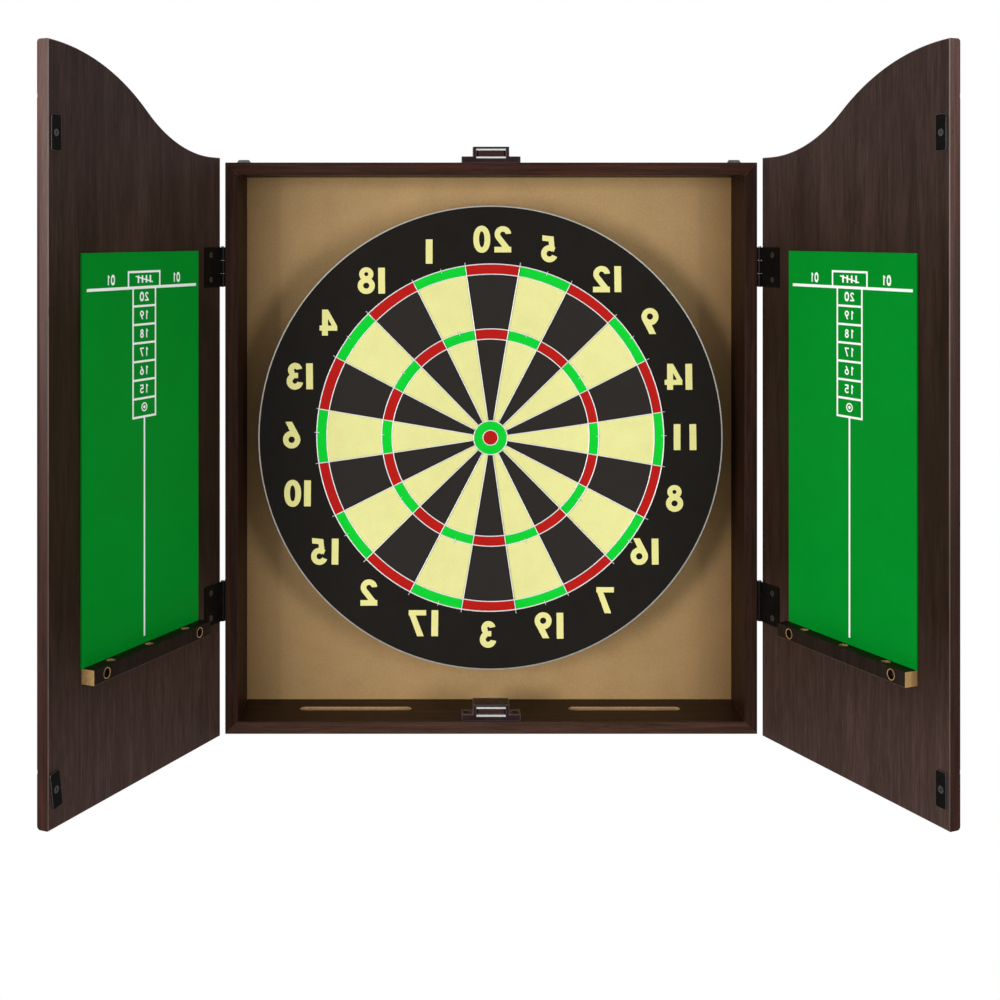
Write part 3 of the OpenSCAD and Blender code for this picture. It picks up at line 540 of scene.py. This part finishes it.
# --------------------------------------------------------------------------- mesh helpers
class Soup:
    def __init__(self):
        self.v, self.f, self.mi = [], [], []

    def add(self, verts, faces, mat=0):
        k = len(self.v)
        self.v += [tuple(p) for p in verts]
        self.f += [tuple(i + k for i in f) for f in faces]
        self.mi += [mat] * len(faces)

    def build(self, name, mats, body, smooth=True, replaces=()):
        me = bpy.data.meshes.new(name)
        me.from_pydata(self.v, [], self.f)
        for k in mats:
            me.materials.append(M[k])
        me.polygons.foreach_set("material_index", np.array(self.mi, np.int32))
        me.polygons.foreach_set("use_smooth", np.full(len(me.polygons), smooth, bool))
        me.validate()
        bm = bmesh.new()
        bm.from_mesh(me)
        bmesh.ops.recalc_face_normals(bm, faces=bm.faces[:])
        bm.to_mesh(me)
        bm.free()
        me.update()
        ob = bpy.data.objects.new(name, me)
        scene.collection.objects.link(ob)
        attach(ob, body)
        if replaces:
            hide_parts(*replaces)
        return ob


def tube(soup, path, r, closed=False, sides=8, caps=True, mat=0, flat=None):
    """A round wire along the path, its section turned by the least twist."""
    pts = [Vector(p) for p in path]
    n = len(pts)
    tan = []
    for i in range(n):
        a = pts[(i - 1) % n] if closed or i else pts[0]
        b = pts[(i + 1) % n] if closed or i < n - 1 else pts[-1]
        tan.append((b - a).normalized())
    ref = Vector((0, 1, 0)) if abs(tan[0].y) < 0.9 else Vector((0, 0, 1))
    verts = []
    for i in range(n):
        side_ = tan[i].cross(ref).normalized()
        up = side_.cross(tan[i]).normalized()
        for k in range(sides):
            a = 2 * math.pi * (k + 0.5) / sides
            verts.append(pts[i] + side_ * math.cos(a) * r + up * math.sin(a) * r * (flat or 1.0))
        if abs(tan[min(i + 1, n - 1)].dot(ref)) > 0.95:
            ref = up
    faces = []
    for i in range(n if closed else n - 1):
        j = (i + 1) % n
        for k in range(sides):
            m_ = (k + 1) % sides
            faces.append((i * sides + k, i * sides + m_, j * sides + m_, j * sides + k))
    if not closed and caps:
        faces.append(tuple(range(sides))[::-1])
        faces.append(tuple((n - 1) * sides + k for k in range(sides)))
    soup.add(verts, faces, mat)


# --- glyph outlines from signed distances -----------------------------------
def sd_box(x, y, cx, cy, hx, hy, ang=0.0):
    c, s = math.cos(ang), math.sin(ang)
    px, py = (x - cx) * c + (y - cy) * s, -(x - cx) * s + (y - cy) * c
    qx, qy = np.abs(px) - hx, np.abs(py) - hy
    return np.hypot(np.maximum(qx, 0), np.maximum(qy, 0)) + np.minimum(np.maximum(qx, qy), 0)


def sd_seg(x, y, a, b, w):
    mx, my = (a[0] + b[0]) / 2, (a[1] + b[1]) / 2
    return sd_box(x, y, mx, my, math.hypot(b[0] - a[0], b[1] - a[1]) / 2, w / 2, math.atan2(b[1] - a[1], b[0] - a[0]))


def sd_disc(x, y, cx, cy, r):
    return np.hypot(x - cx, y - cy) - r


def sd_oval(x, y, cx, cy, a, b, p=2.0):
    k = (np.abs((x - cx) / a) ** p + np.abs((y - cy) / b) ** p) ** (1 / p)
    return (k - 1) * min(a, b)


def sd_poly(x, y, pts):
    d = np.full(x.shape, 1e9)
    inside = np.zeros(x.shape, bool)
    n = len(pts)
    for i in range(n):
        ax, ay = pts[i]
        bx, by = pts[(i + 1) % n]
        ex, ey = bx - ax, by - ay
        t = np.clip(((x - ax) * ex + (y - ay) * ey) / (ex * ex + ey * ey), 0, 1)
        d = np.minimum(d, np.hypot(x - ax - t * ex, y - ay - t * ey))
        cond = ((ay > y) != (by > y)) & (x < (bx - ax) * (y - ay) / ((by - ay) if by != ay else 1e-9) + ax)
        inside ^= cond
    return np.where(inside, -d, d)


def sd_arc(x, y, cx, cy, r, w, a0, a1):
    """Stroke of width w on the arc from a0 to a1 degrees, counter-clockwise, with flat ends."""
    mid, half = math.radians((a0 + a1) / 2), math.radians((a1 - a0) / 2)
    ring = np.abs(np.hypot(x - cx, y - cy) - r) - w / 2
    ang = (np.arctan2(y - cy, x - cx) - mid + math.pi) % (2 * math.pi) - math.pi
    rr = np.hypot(x - cx, y - cy)
    wedge = rr * np.sin(np.clip(np.abs(ang) - half, -math.pi / 2, math.pi / 2))
    return np.maximum(ring, wedge)


def un(*a):
    out = a[0]
    for b in a[1:]:
        out = np.minimum(out, b)
    return out


def cut(a, b):
    return np.maximum(a, -b)


def bold(ch, x, y):
    """Heavy numerals, 26.5 high."""
    H = 26.5
    if ch == "0":
        return cut(sd_oval(x, y, 8.7, H / 2, 8.7, 13.45, 2.2), sd_oval(x, y, 8.7, H / 2, 2.75, 8.0, 2.1))
    if ch == "1":
        return sd_box(x, y, 2.95, H / 2, 2.95, H / 2)
    if ch == "2":
        g = un(sd_arc(x, y, 8.15, 18.35, 5.4, 5.5, -42, 176), sd_seg(x, y, (12.55, 15.2), (2.2, 1.6), 5.6), sd_box(x, y, 8.3, 2.8, 8.3, 2.8))
        return np.maximum(g, sd_box(x, y, 8.3, 13.3, 8.3, 13.3))
    if ch == "3":
        return un(sd_arc(x, y, 8.7, 19.4, 4.2, 5.8, -70, 168), sd_arc(x, y, 9.0, 8.3, 5.35, 5.9, -170, 72), sd_box(x, y, 8.2, 14.0, 2.4, 2.6))
    if ch == "4":
        g = sd_poly(x, y, [(9.2, 26.5), (14.9, 26.5), (14.9, 10.2), (17.3, 10.2), (17.3, 5.0), (14.9, 5.0), (14.9, 0), (9.1, 0), (9.1, 5.0), (0, 5.0), (0, 9.6)])
        return cut(g, sd_poly(x, y, [(5.3, 10.2), (9.1, 10.2), (9.1, 17.2)]))
    if ch == "5":
        return un(sd_arc(x, y, 8.3, 8.55, 5.75, 5.6, -158, 138), sd_poly(x, y, [(4.1, 25.7), (9.4, 26.0), (8.6, 15.0), (4.2, 10.2), (2.9, 12.6)]),
                  sd_poly(x, y, [(4.1, 25.6), (15.6, 26.9), (15.6, 21.5), (3.8, 20.2)]))
    if ch == "6":
        g = un(sd_disc(x, y, 8.75, 8.75, 8.75), sd_poly(x, y, [(8.2, 26.5), (14.9, 26.5), (9.4, 15.0), (5.0, 9.0), (0.55, 11.9)]))
        return cut(g, sd_disc(x, y, 8.75, 8.6, 3.2))
    if ch == "7":
        return un(sd_box(x, y, 8.4, 23.85, 8.4, 2.65), sd_poly(x, y, [(16.8, 26.5), (16.8, 23.4), (8.6, 0), (2.3, 0), (10.2, 21.6), (10.2, 26.5)]))
    if ch == "8":
        g = un(sd_disc(x, y, 8.3, 19.75, 6.85), sd_disc(x, y, 8.3, 8.25, 8.3))
        return cut(cut(g, sd_disc(x, y, 8.3, 19.75, 2.0)), sd_disc(x, y, 8.3, 8.3, 3.0))
    if ch == "9":
        return bold("6", 17.5 - x, H - y)
    raise ValueError(ch)


BOLD_W = {"0": 17.4, "1": 5.9, "2": 16.6, "3": 17.3, "4": 17.3, "5": 16.9, "6": 17.5, "7": 16.8, "8": 16.6, "9": 17.5}


def light(ch, x, y):
    """Plain score sheet numerals, 8 high, 5.6 wide."""
    w = 1.35
    if ch == "0":
        return np.abs(sd_oval(x, y, 2.8, 4, 2.8 - w / 2, 4 - w / 2, 2.3)) - w / 2
    if ch == "1":
        return un(sd_box(x, y, 2.9, 4, w / 2, 4), sd_seg(x, y, (3.1, 7.4), (1.2, 6.0), 1.1))
    if ch == "2":
        g = un(sd_arc(x, y, 2.7, 5.75, 1.6, w, -40, 175), sd_seg(x, y, (3.95, 4.75), (0.5, 0.4), w), sd_box(x, y, 2.7, w / 2, 2.6, w / 2))
        return np.maximum(g, sd_box(x, y, 2.7, 4, 2.6, 4))
    if ch == "5":
        return un(sd_arc(x, y, 2.6, 2.65, 1.95, w, -155, 140), sd_box(x, y, 1.3, 5.7, w / 2, 2.0), sd_box(x, y, 2.9, 8 - w / 2, 2.2, w / 2))
    if ch == "6":
        return un(np.abs(sd_disc(x, y, 2.75, 2.6, 1.95)) - w / 2, sd_seg(x, y, (1.15, 3.4), (3.7, 7.8), w))
    if ch == "7":
        return un(sd_box(x, y, 2.7, 8 - w / 2, 2.6, w / 2), sd_seg(x, y, (4.65, 7.2), (1.8, 0.1), w))
    if ch == "8":
        return un(np.abs(sd_disc(x, y, 2.75, 5.9, 1.42)) - w / 2, np.abs(sd_disc(x, y, 2.75, 2.4, 1.75)) - w / 2)
    if ch == "9":
        return light("6", 5.5 - x, 8 - y)
    if ch == "o":      # target mark: ring and dot
        return un(np.abs(sd_disc(x, y, 4.4, 4.2, 3.5)) - 0.55, sd_disc(x, y, 4.4, 4.2, 1.5))
    if ch == "t":      # five-stroke tally
        g = sd_seg(x, y, (0.4, 1.0), (15.4, 6.9), 1.2)
        for k in range(4):
            g = un(g, sd_box(x, y, 2.6 + 3.5 * k, 4.0, 0.62, 3.6))
        return g
    raise ValueError(ch)


LIGHT_W = {"o": 8.8, "t": 15.8}


def loops_of(fn, w, h, step):
    """Outlines of fn < 0, by marching squares."""
    pad = 2 * step
    xs = np.arange(-pad - 0.6, w + pad + 0.6 + step, step)
    ys = np.arange(-pad - 0.6, h + pad + 0.6 + step, step)
    gx, gy = np.meshgrid(xs, ys)
    v = fn(gx, gy)
    v = np.where(np.abs(v) < 1e-9, 1e-9, v)
    ins = v < 0
    nxt = {}

    def edge(i, j, k):
        if k == 0:
            t = v[j, i] / (v[j, i] - v[j, i + 1])
            return (i, j, 0), (xs[i] + t * step, ys[j])
        t = v[j, i] / (v[j, i] - v[j + 1, i])
        return (i, j, 1), (xs[i], ys[j] + t * step)

    point = {}
    mixed = ins[:-1, :-1].astype(int) + ins[:-1, 1:] + ins[1:, :-1] + ins[1:, 1:]
    for j, i in zip(*np.nonzero((mixed > 0) & (mixed < 4))):
        cs = [ins[j, i], ins[j, i + 1], ins[j + 1, i + 1], ins[j + 1, i]]
        es = [(i, j, 0), (i + 1, j, 1), (i, j + 1, 0), (i, j, 1)]
        hits = []
        for k in range(4):
            if cs[k] != cs[(k + 1) % 4]:
                key, p = edge(*es[k])
                point[key] = p
                hits.append((k, key, cs[k]))
        starts = [h_ for h_ in hits if h_[2]]
        ends = [h_ for h_ in hits if not h_[2]]
        for s in starts:
            e = min(ends, key=lambda q: (q[0] - s[0]) % 4)
            nxt[s[1]] = e[1]
    out = []
    while nxt:
        k0 = next(iter(nxt))
        loop, k = [], k0
        while k in nxt:
            loop.append(point[k])
            k = nxt.pop(k)
        if len(loop) > 8:
            out.append(loop)
    return out


def thin(loop, tol):
    """Drops points that lie on the line between their neighbours."""
    pts = np.array(loop)
    n = len(pts)
    i0 = int(np.argmax(pts[:, 0]))
    pts = np.roll(pts, -i0, axis=0)
    far = int(np.argmax(((pts - pts[0]) ** 2).sum(1)))

    def rdp(a, b):
        if b <= a + 1:
            return [a]
        p, q = pts[a], pts[b % n]
        d = q - p
        L = math.hypot(*d) or 1e-9
        off = np.abs((pts[a + 1:b, 0] - p[0]) * d[1] - (pts[a + 1:b, 1] - p[1]) * d[0]) / L
        k = int(np.argmax(off))
        if off[k] < tol:
            return [a]
        k += a + 1
        return rdp(a, k) + rdp(k, b)

    keep = rdp(0, far) + rdp(far, n)
    return [tuple(pts[i]) for i in keep]


def area2(loop):
    return sum(a[0] * b[1] - b[0] * a[1] for a, b in zip(loop, loop[1:] + loop[:1]))


def inside(p, loop):
    c = False
    for a, b in zip(loop, loop[1:] + loop[:1]):
        if (a[1] > p[1]) != (b[1] > p[1]) and p[0] < (b[0] - a[0]) * (p[1] - a[1]) / (b[1] - a[1]) + a[0]:
            c = not c
    return c


_glyphs = {}


def glyph(style, ch):
    key = (style, ch)
    if key not in _glyphs:
        if style == "bold":
            loops = loops_of(lambda x, y: bold(ch, x, y), BOLD_W[ch], 27.5, 0.22)
            loops = [thin(l, 0.02) for l in loops]
        else:
            loops = loops_of(lambda x, y: light(ch, x, y), LIGHT_W.get(ch, 5.6), 8.4, 0.09)
            loops = [thin(l, 0.012) for l in loops]
        loops = [l for l in loops if len(l) > 2]
        big = max(abs(area2(l)) for l in loops)
        sign = 1 if area2(max(loops, key=lambda l: abs(area2(l)))) > 0 else -1
        outer = [l for l in loops if area2(l) * sign > 0 and abs(area2(l)) > big * 0.002]
        holes = [l for l in loops if area2(l) * sign < 0]
        _glyphs[key] = [(o_, [h_ for h_ in holes if inside(h_[0], o_)]) for o_ in outer]
    return _glyphs[key]


def stamp(soup, style, ch, origin, ex, ez, nn, dx, dz, scale_x=1.0, scale_z=1.0, depth=0.2, tilt=0.0, mat=0):
    """Raised print of one glyph: its plane is at origin, ex and ez are its axes, nn points out."""
    ct, st = math.cos(tilt), math.sin(tilt)

    def place(p, out):
        x, z = (p[0] * scale_x + dx), (p[1] * scale_z + dz)
        x, z = x * ct - z * st, x * st + z * ct
        return origin + ex * x * MM + ez * z * MM + nn * out * MM

    for outer, holes in glyph(style, ch):
        rings = [outer] + holes
        flat = [Vector((p[0], p[1], 0)) for r in rings for p in r]
        tris = tessellate_polygon([[Vector((p[0], p[1], 0)) for p in r] for r in rings])
        n = len(flat)
        front = [place((p.x, p.y), depth) for p in flat]
        back = [place((p.x, p.y), -0.05) for p in flat]
        faces = []
        flip = ex.cross(ez).dot(nn) < 0
        for t in tris:
            a, b, c_ = (flat[i] for i in t)
            ccw = (b.x - a.x) * (c_.y - a.y) - (b.y - a.y) * (c_.x - a.x) > 0
            t = tuple(t) if ccw != flip else tuple(t)[::-1]
            faces.append(t)
            faces.append(tuple(n + i for i in t[::-1]))
        k = 0
        for r in rings:
            m_ = len(r)
            for i in range(m_):
                a, b = k + i, k + (i + 1) % m_
                q = (a, b, n + b, n + a)
                q_ok = (area2(r) > 0) == (r is outer)
                q = q[::-1] if (q_ok != flip) else q
                faces.append(q)
            k += m_
        soup.add(front + back, faces, mat)


SX = -1.0 if MIRROR_PRINT else 1.0

# --------------------------------------------------------------------------- board numerals
# centres of the digits as they stand on the board, mm from the bull, tens digit first
NUMERALS = {
    "20": ((12, 194), (-8.5, 194)), "5": ((57.5, 184.5),), "12": ((124.5, 155), (108.5, 155)), "9": ((156, 114),),
    "14": ((194, 59.5), (179, 59.5)), "11": ((198, 0.5), (182.5, 0.5)), "8": ((180, -59.5),), "16": ((161, -111.5), (145.5, -111.5)),
    "7": ((112, -159),), "19": ((68, -184), (51.5, -183.5)), "3": ((-2, -192.5),), "17": ((-54.5, -181.5), (-71.5, -181.5)),
    "2": ((-119, -151.5),), "15": ((-152, -111.5), (-167.5, -111.5)), "10": ((-179, -54.5), (-193.5, -54.5)), "6": ((-194.5, 2.5),),
    "13": ((-177, 60), (-191, 60)), "4": ((-158.5, 112.5),), "18": ((-106.5, 153.5), (-121.5, 153.5)), "1": ((-60, 182),),
}
SIZE = {"0": (16.5, 26.0), "1": (6.6, 25.4), "2": (16.5, 25.7), "3": (16.9, 26.2), "4": (17.3, 25.4), "5": (16.1, 26.0),
        "6": (17.0, 26.1), "7": (17.1, 25.5), "8": (16.8, 26.0), "9": (16.6, 25.4)}
rnd = random.Random(7)
soup = Soup()
for text, places in NUMERALS.items():
    for c_, (x, z) in zip(text, places):
        w_, h_ = SIZE[c_]
        if text == "1":
            h_ = 23.8
        x = x if MIRROR_PRINT else -x
        org = Vector((BX + x * MM, FACE_Y, BZ + z * MM))
        kx, kz = w_ / BOLD_W[c_], h_ / 26.5
        stamp(soup, "bold", c_, org, Vector((SX, 0, 0)), Vector((0, 0, 1)), Vector((0, -1, 0)), -w_ / 2, -h_ / 2, kx, kz,
              depth=0.22, tilt=math.radians(rnd.uniform(-0.8, 0.8)))
soup.build("board_numerals", ["num"], "dart_board", smooth=False)

# --------------------------------------------------------------------------- spider: round wires, stub ends, staples
soup = Soup()
rnd = random.Random(21)
TURN = math.radians(-0.6)      # beds and wires stand a touch clockwise of upright


def wobble(seed, amp, n_terms=5):
    r_ = random.Random(seed)
    terms = [(r_.randint(2, 11), r_.uniform(0, 2 * math.pi), r_.uniform(0.3, 1.0)) for _ in range(n_terms)]
    tot = sum(t[2] for t in terms)
    return lambda t: amp * sum(w * math.sin(k * t + p) for k, p, w in terms) / tot


RINGS = [(169.8, 0.58, 0.45), (160.0, 0.54, 0.40), (106.2, 0.54, 0.40), (96.4, 0.54, 0.40), (16.5, 0.56, 0.15), (7.3, 0.48, 0.12)]
for i, (r, wr, amp) in enumerate(RINGS):
    wob = wobble(100 + i, amp)
    ox, oz = rnd.uniform(-0.35, 0.35) * min(1, r / 60), rnd.uniform(-0.35, 0.35) * min(1, r / 60)
    n = 240 if r > 50 else 72
    path = []
    for k in range(n):
        t = 2 * math.pi * k / n
        rr = r + wob(t)
        path.append((BX + (rr * math.cos(t) + ox) * MM, FACE_Y - (0.25 + wr * 0.75) * MM, BZ + (rr * math.sin(t) + oz) * MM))
    tube(soup, path, wr * MM, closed=True, sides=10)
for k in range(20):
    t = math.radians(18 * k + 9) + TURN + rnd.uniform(-0.0012, 0.0012)
    bow = rnd.uniform(-0.5, 0.5)
    drift = rnd.uniform(-0.4, 0.4)
    r0, r1 = 16.3, 172.8 + rnd.uniform(-0.7, 0.9)
    path = []
    n = 22
    for i in range(n):
        f = i / (n - 1)
        r = r0 + (r1 - r0) * f
        off = bow * math.sin(math.pi * f) + drift * f
        dip = 0.75 * max(0.0, (f - 0.965) / 0.035)          # the end bends down into the sisal
        y = FACE_Y - (1.25 - dip) * MM
        path.append((BX + (r * math.cos(t) - off * math.sin(t)) * MM, y, BZ + (r * math.sin(t) + off * math.cos(t)) * MM))
    tube(soup, path, 0.50 * MM, sides=10)
soup.build("spider_round_wires", ["wire"], "dart_board", replaces=("spider_wires",))

soup = Soup()
for r in (169.8, 106.2):
    for k in range(20):
        if (k % 2) and r < 150:
            continue
        if k % 2 and r > 150:
            continue
        t = math.radians(18 * k) + TURN + rnd.uniform(-0.03, 0.03)
        c_, s_ = math.cos(t), math.sin(t)
        pts = []
        for dr, dy in ((-2.3, -0.4), (-2.2, 0.9), (-1.6, 1.65), (0.0, 1.85), (1.6, 1.65), (2.2, 0.9), (2.3, -0.4)):
            pts.append((BX + (r + dr) * c_ * MM, FACE_Y - dy * MM, BZ + (r + dr) * s_ * MM))
        tube(soup, pts, 0.32 * MM, sides=8)
soup.build("spider_staples", ["wire"], "dart_board")

# --------------------------------------------------------------------------- score sheets: numerals and marks
CELL0, PITCH = 159.2, 16.3
for side, d in DOORS.items():
    centre_u = 128.2 if side == "left" else 134.3
    # the picture's left is +u on the left door and -u on the right one
    to_left = d.u if side == "left" else -d.u
    ex = to_left if MIRROR_PRINT else -to_left
    ez = Vector((0, 0, 1))
    soup = Soup()

    def write(text, u, z, sx=1.0, sz=1.0, gap=1.35):
        ws = [LIGHT_W.get(c_, 5.5) * sx for c_ in text]
        total = sum(ws) + gap * (len(text) - 1)
        org = d.at(u, 0.40, z)
        x = -total / 2
        for c_, w_ in zip(text, ws):
            stamp(soup, "light", c_, org, ex, ez, d.n, x, -4.0 * sz, sx, sz, depth=0.13)
            x += w_ + gap

    for i, text in enumerate(("20", "19", "18", "17", "16", "15", "o")):
        write(text, centre_u, CELL0 - PITCH * (i + 0.5) + 0.1, 1.08, 0.98)
    write("t", centre_u, CELL0 + 7.4, 1.7, 0.92)
    for off in (-49.5, 48.8):
        write("01", centre_u + off, 166.9, 0.98, 1.05, 0.9)
    soup.build(side + "_score_figures", ["white_ink"], d.body, smooth=False)

# --------------------------------------------------------------------------- rack: chipped rings round the screw holes, bare edge line
for side, d in DOORS.items():
    o = NODES[side + "_dart_rack"]
    co = np.array([v.co for v in o.data.vertices])
    uu = (co - np.array(d.o)) @ np.array(d.u) / MM
    nn_ = (co - np.array(d.o)) @ np.array(d.n) / MM
    zz = co[:, 2] / MM
    mid = (uu.min() + uu.max()) / 2
    face_n, zc = nn_.max(), (zz.min() + zz.max()) / 2
    soup = Soup()
    rnd = random.Random(31 if side == "left" else 32)
    for k in (-70, 70):
        seg = 40
        wob = wobble(rnd.randint(1, 999), 0.22, 6)
        verts = []
        for i in range(seg):
            t = 2 * math.pi * i / seg
            for r, h in ((4.12, -0.5), (4.12, 0.03), (4.75 + wob(t), 0.05), (4.85 + wob(t), -0.02)):
                verts.append(d.at(mid + k + r * math.cos(t), face_n + h, zc + r * math.sin(t)))
        faces = []
        for i in range(seg):
            j = (i + 1) % seg
            for q in range(4):
                w = (q + 1) % 4
                faces.append((i * 4 + q, i * 4 + w, j * 4 + w, j * 4 + q))
        soup.add(verts, faces)
    # bare hairline along the lower front corner, broken here and there
    lo, hi = uu.min() + 0.3, uu.max() - 0.3
    n = 90
    wob = wobble(rnd.randint(1, 999), 0.16, 7)
    verts = []
    for i in range(n):
        u = lo + (hi - lo) * i / (n - 1)
        w_ = 0.34 + wob(u / 9.0)
        z = zz.min() + 0.12
        verts += [d.at(u, face_n - 0.3, z), d.at(u, face_n + 0.04, z), d.at(u, face_n + 0.04, z + w_), d.at(u, face_n - 0.3, z + w_)]
    faces = []
    for i in range(n - 1):
        for q in range(4):
            faces.append((i * 4 + q, i * 4 + (q + 1) % 4, (i + 1) * 4 + (q + 1) % 4, (i + 1) * 4 + q))
    faces += [(3, 2, 1, 0), tuple((n - 1) * 4 + q for q in range(4))]
    soup.add(verts, faces, 1)
    soup.build(side + "_rack_hole_rims", ["raw", "highlight_and_bare_line"], d.body)

# --------------------------------------------------------------------------- floor, world, lights
me = bpy.data.meshes.new("floor")
seg = 128
fz = -1.72
ring = [(2.1 * math.cos(2 * math.pi * i / seg), 2.1 * math.sin(2 * math.pi * i / seg), fz) for i in range(seg)]
me.from_pydata(ring, [], [tuple(range(seg))])
floor = bpy.data.objects.new("floor", me)
scene.collection.objects.link(floor)
fm = Mat("floor_pale")
fm.color(fm.ramp(fm.noise(fm.co, 3.0, 4, 0.6), [(0.3, (0.83, 0.83, 0.82)), (0.7, (0.88, 0.88, 0.87))]))
fm.rough(fm.rng(fm.noise(fm.co, 40, 3, 0.6), 0.3, 0.7, 0.75, 0.9))
me.materials.append(fm.m)

world = bpy.data.worlds.new("studio")
scene.world = world
world.use_nodes = True
wt = world.node_tree
wt.nodes.clear()
wo = wt.nodes.new("ShaderNodeOutputWorld")
plain = wt.nodes.new("ShaderNodeBackground")
plain.inputs[0].default_value = (1, 1, 1, 1)
soft = wt.nodes.new("ShaderNodeBackground")
wc = wt.nodes.new("ShaderNodeTexCoord")
ws = wt.nodes.new("ShaderNodeSeparateXYZ")
wt.links.new(wc.outputs["Generated"], ws.inputs[0])
wr = wt.nodes.new("ShaderNodeMapRange")
wt.links.new(ws.outputs[2], wr.inputs[0])
for i, v in enumerate((-0.25, 0.30, 0.24, 0.46)):
    wr.inputs[i + 1].default_value = v
soft.inputs[0].default_value = (1.0, 0.995, 0.985, 1)
wt.links.new(wr.outputs[0], soft.inputs[1])
lp = wt.nodes.new("ShaderNodeLightPath")
wm = wt.nodes.new("ShaderNodeMixShader")
wt.links.new(lp.outputs["Is Camera Ray"], wm.inputs[0])
wt.links.new(soft.outputs[0], wm.inputs[1])
wt.links.new(plain.outputs[0], wm.inputs[2])
wt.links.new(wm.outputs[0], wo.inputs[0])


def area_light(name, loc, target, size, power, color=(1, 1, 1)):
    l = bpy.data.lights.new(name, "AREA")
    l.shape = "RECTANGLE"
    l.size, l.size_y = size
    l.energy = power
    l.color = color
    ob = bpy.data.objects.new(name, l)
    ob.location = loc
    ob.rotation_euler = (Vector(target) - Vector(loc)).to_track_quat("-Z", "Y").to_euler()
    scene.collection.objects.link(ob)
    return ob


area_light("soft_left", (-1.75, -2.45, 0.20), (0.0, -0.1, 0.0), (0.8, 1.1), 46, (1.0, 0.99, 0.97))
area_light("soft_right", (1.70, -2.45, 0.20), (0.0, -0.1, 0.0), (0.8, 1.1), 30, (0.99, 0.99, 1.0))
area_light("side_left", (-2.40, -1.40, 0.25), (0.2, -0.2, 0.0), (0.6, 1.0), 21, (1.0, 0.99, 0.97))
area_light("side_right", (2.40, -1.40, 0.25), (-0.2, -0.2, 0.0), (0.6, 1.0), 7, (0.99, 0.99, 1.0))
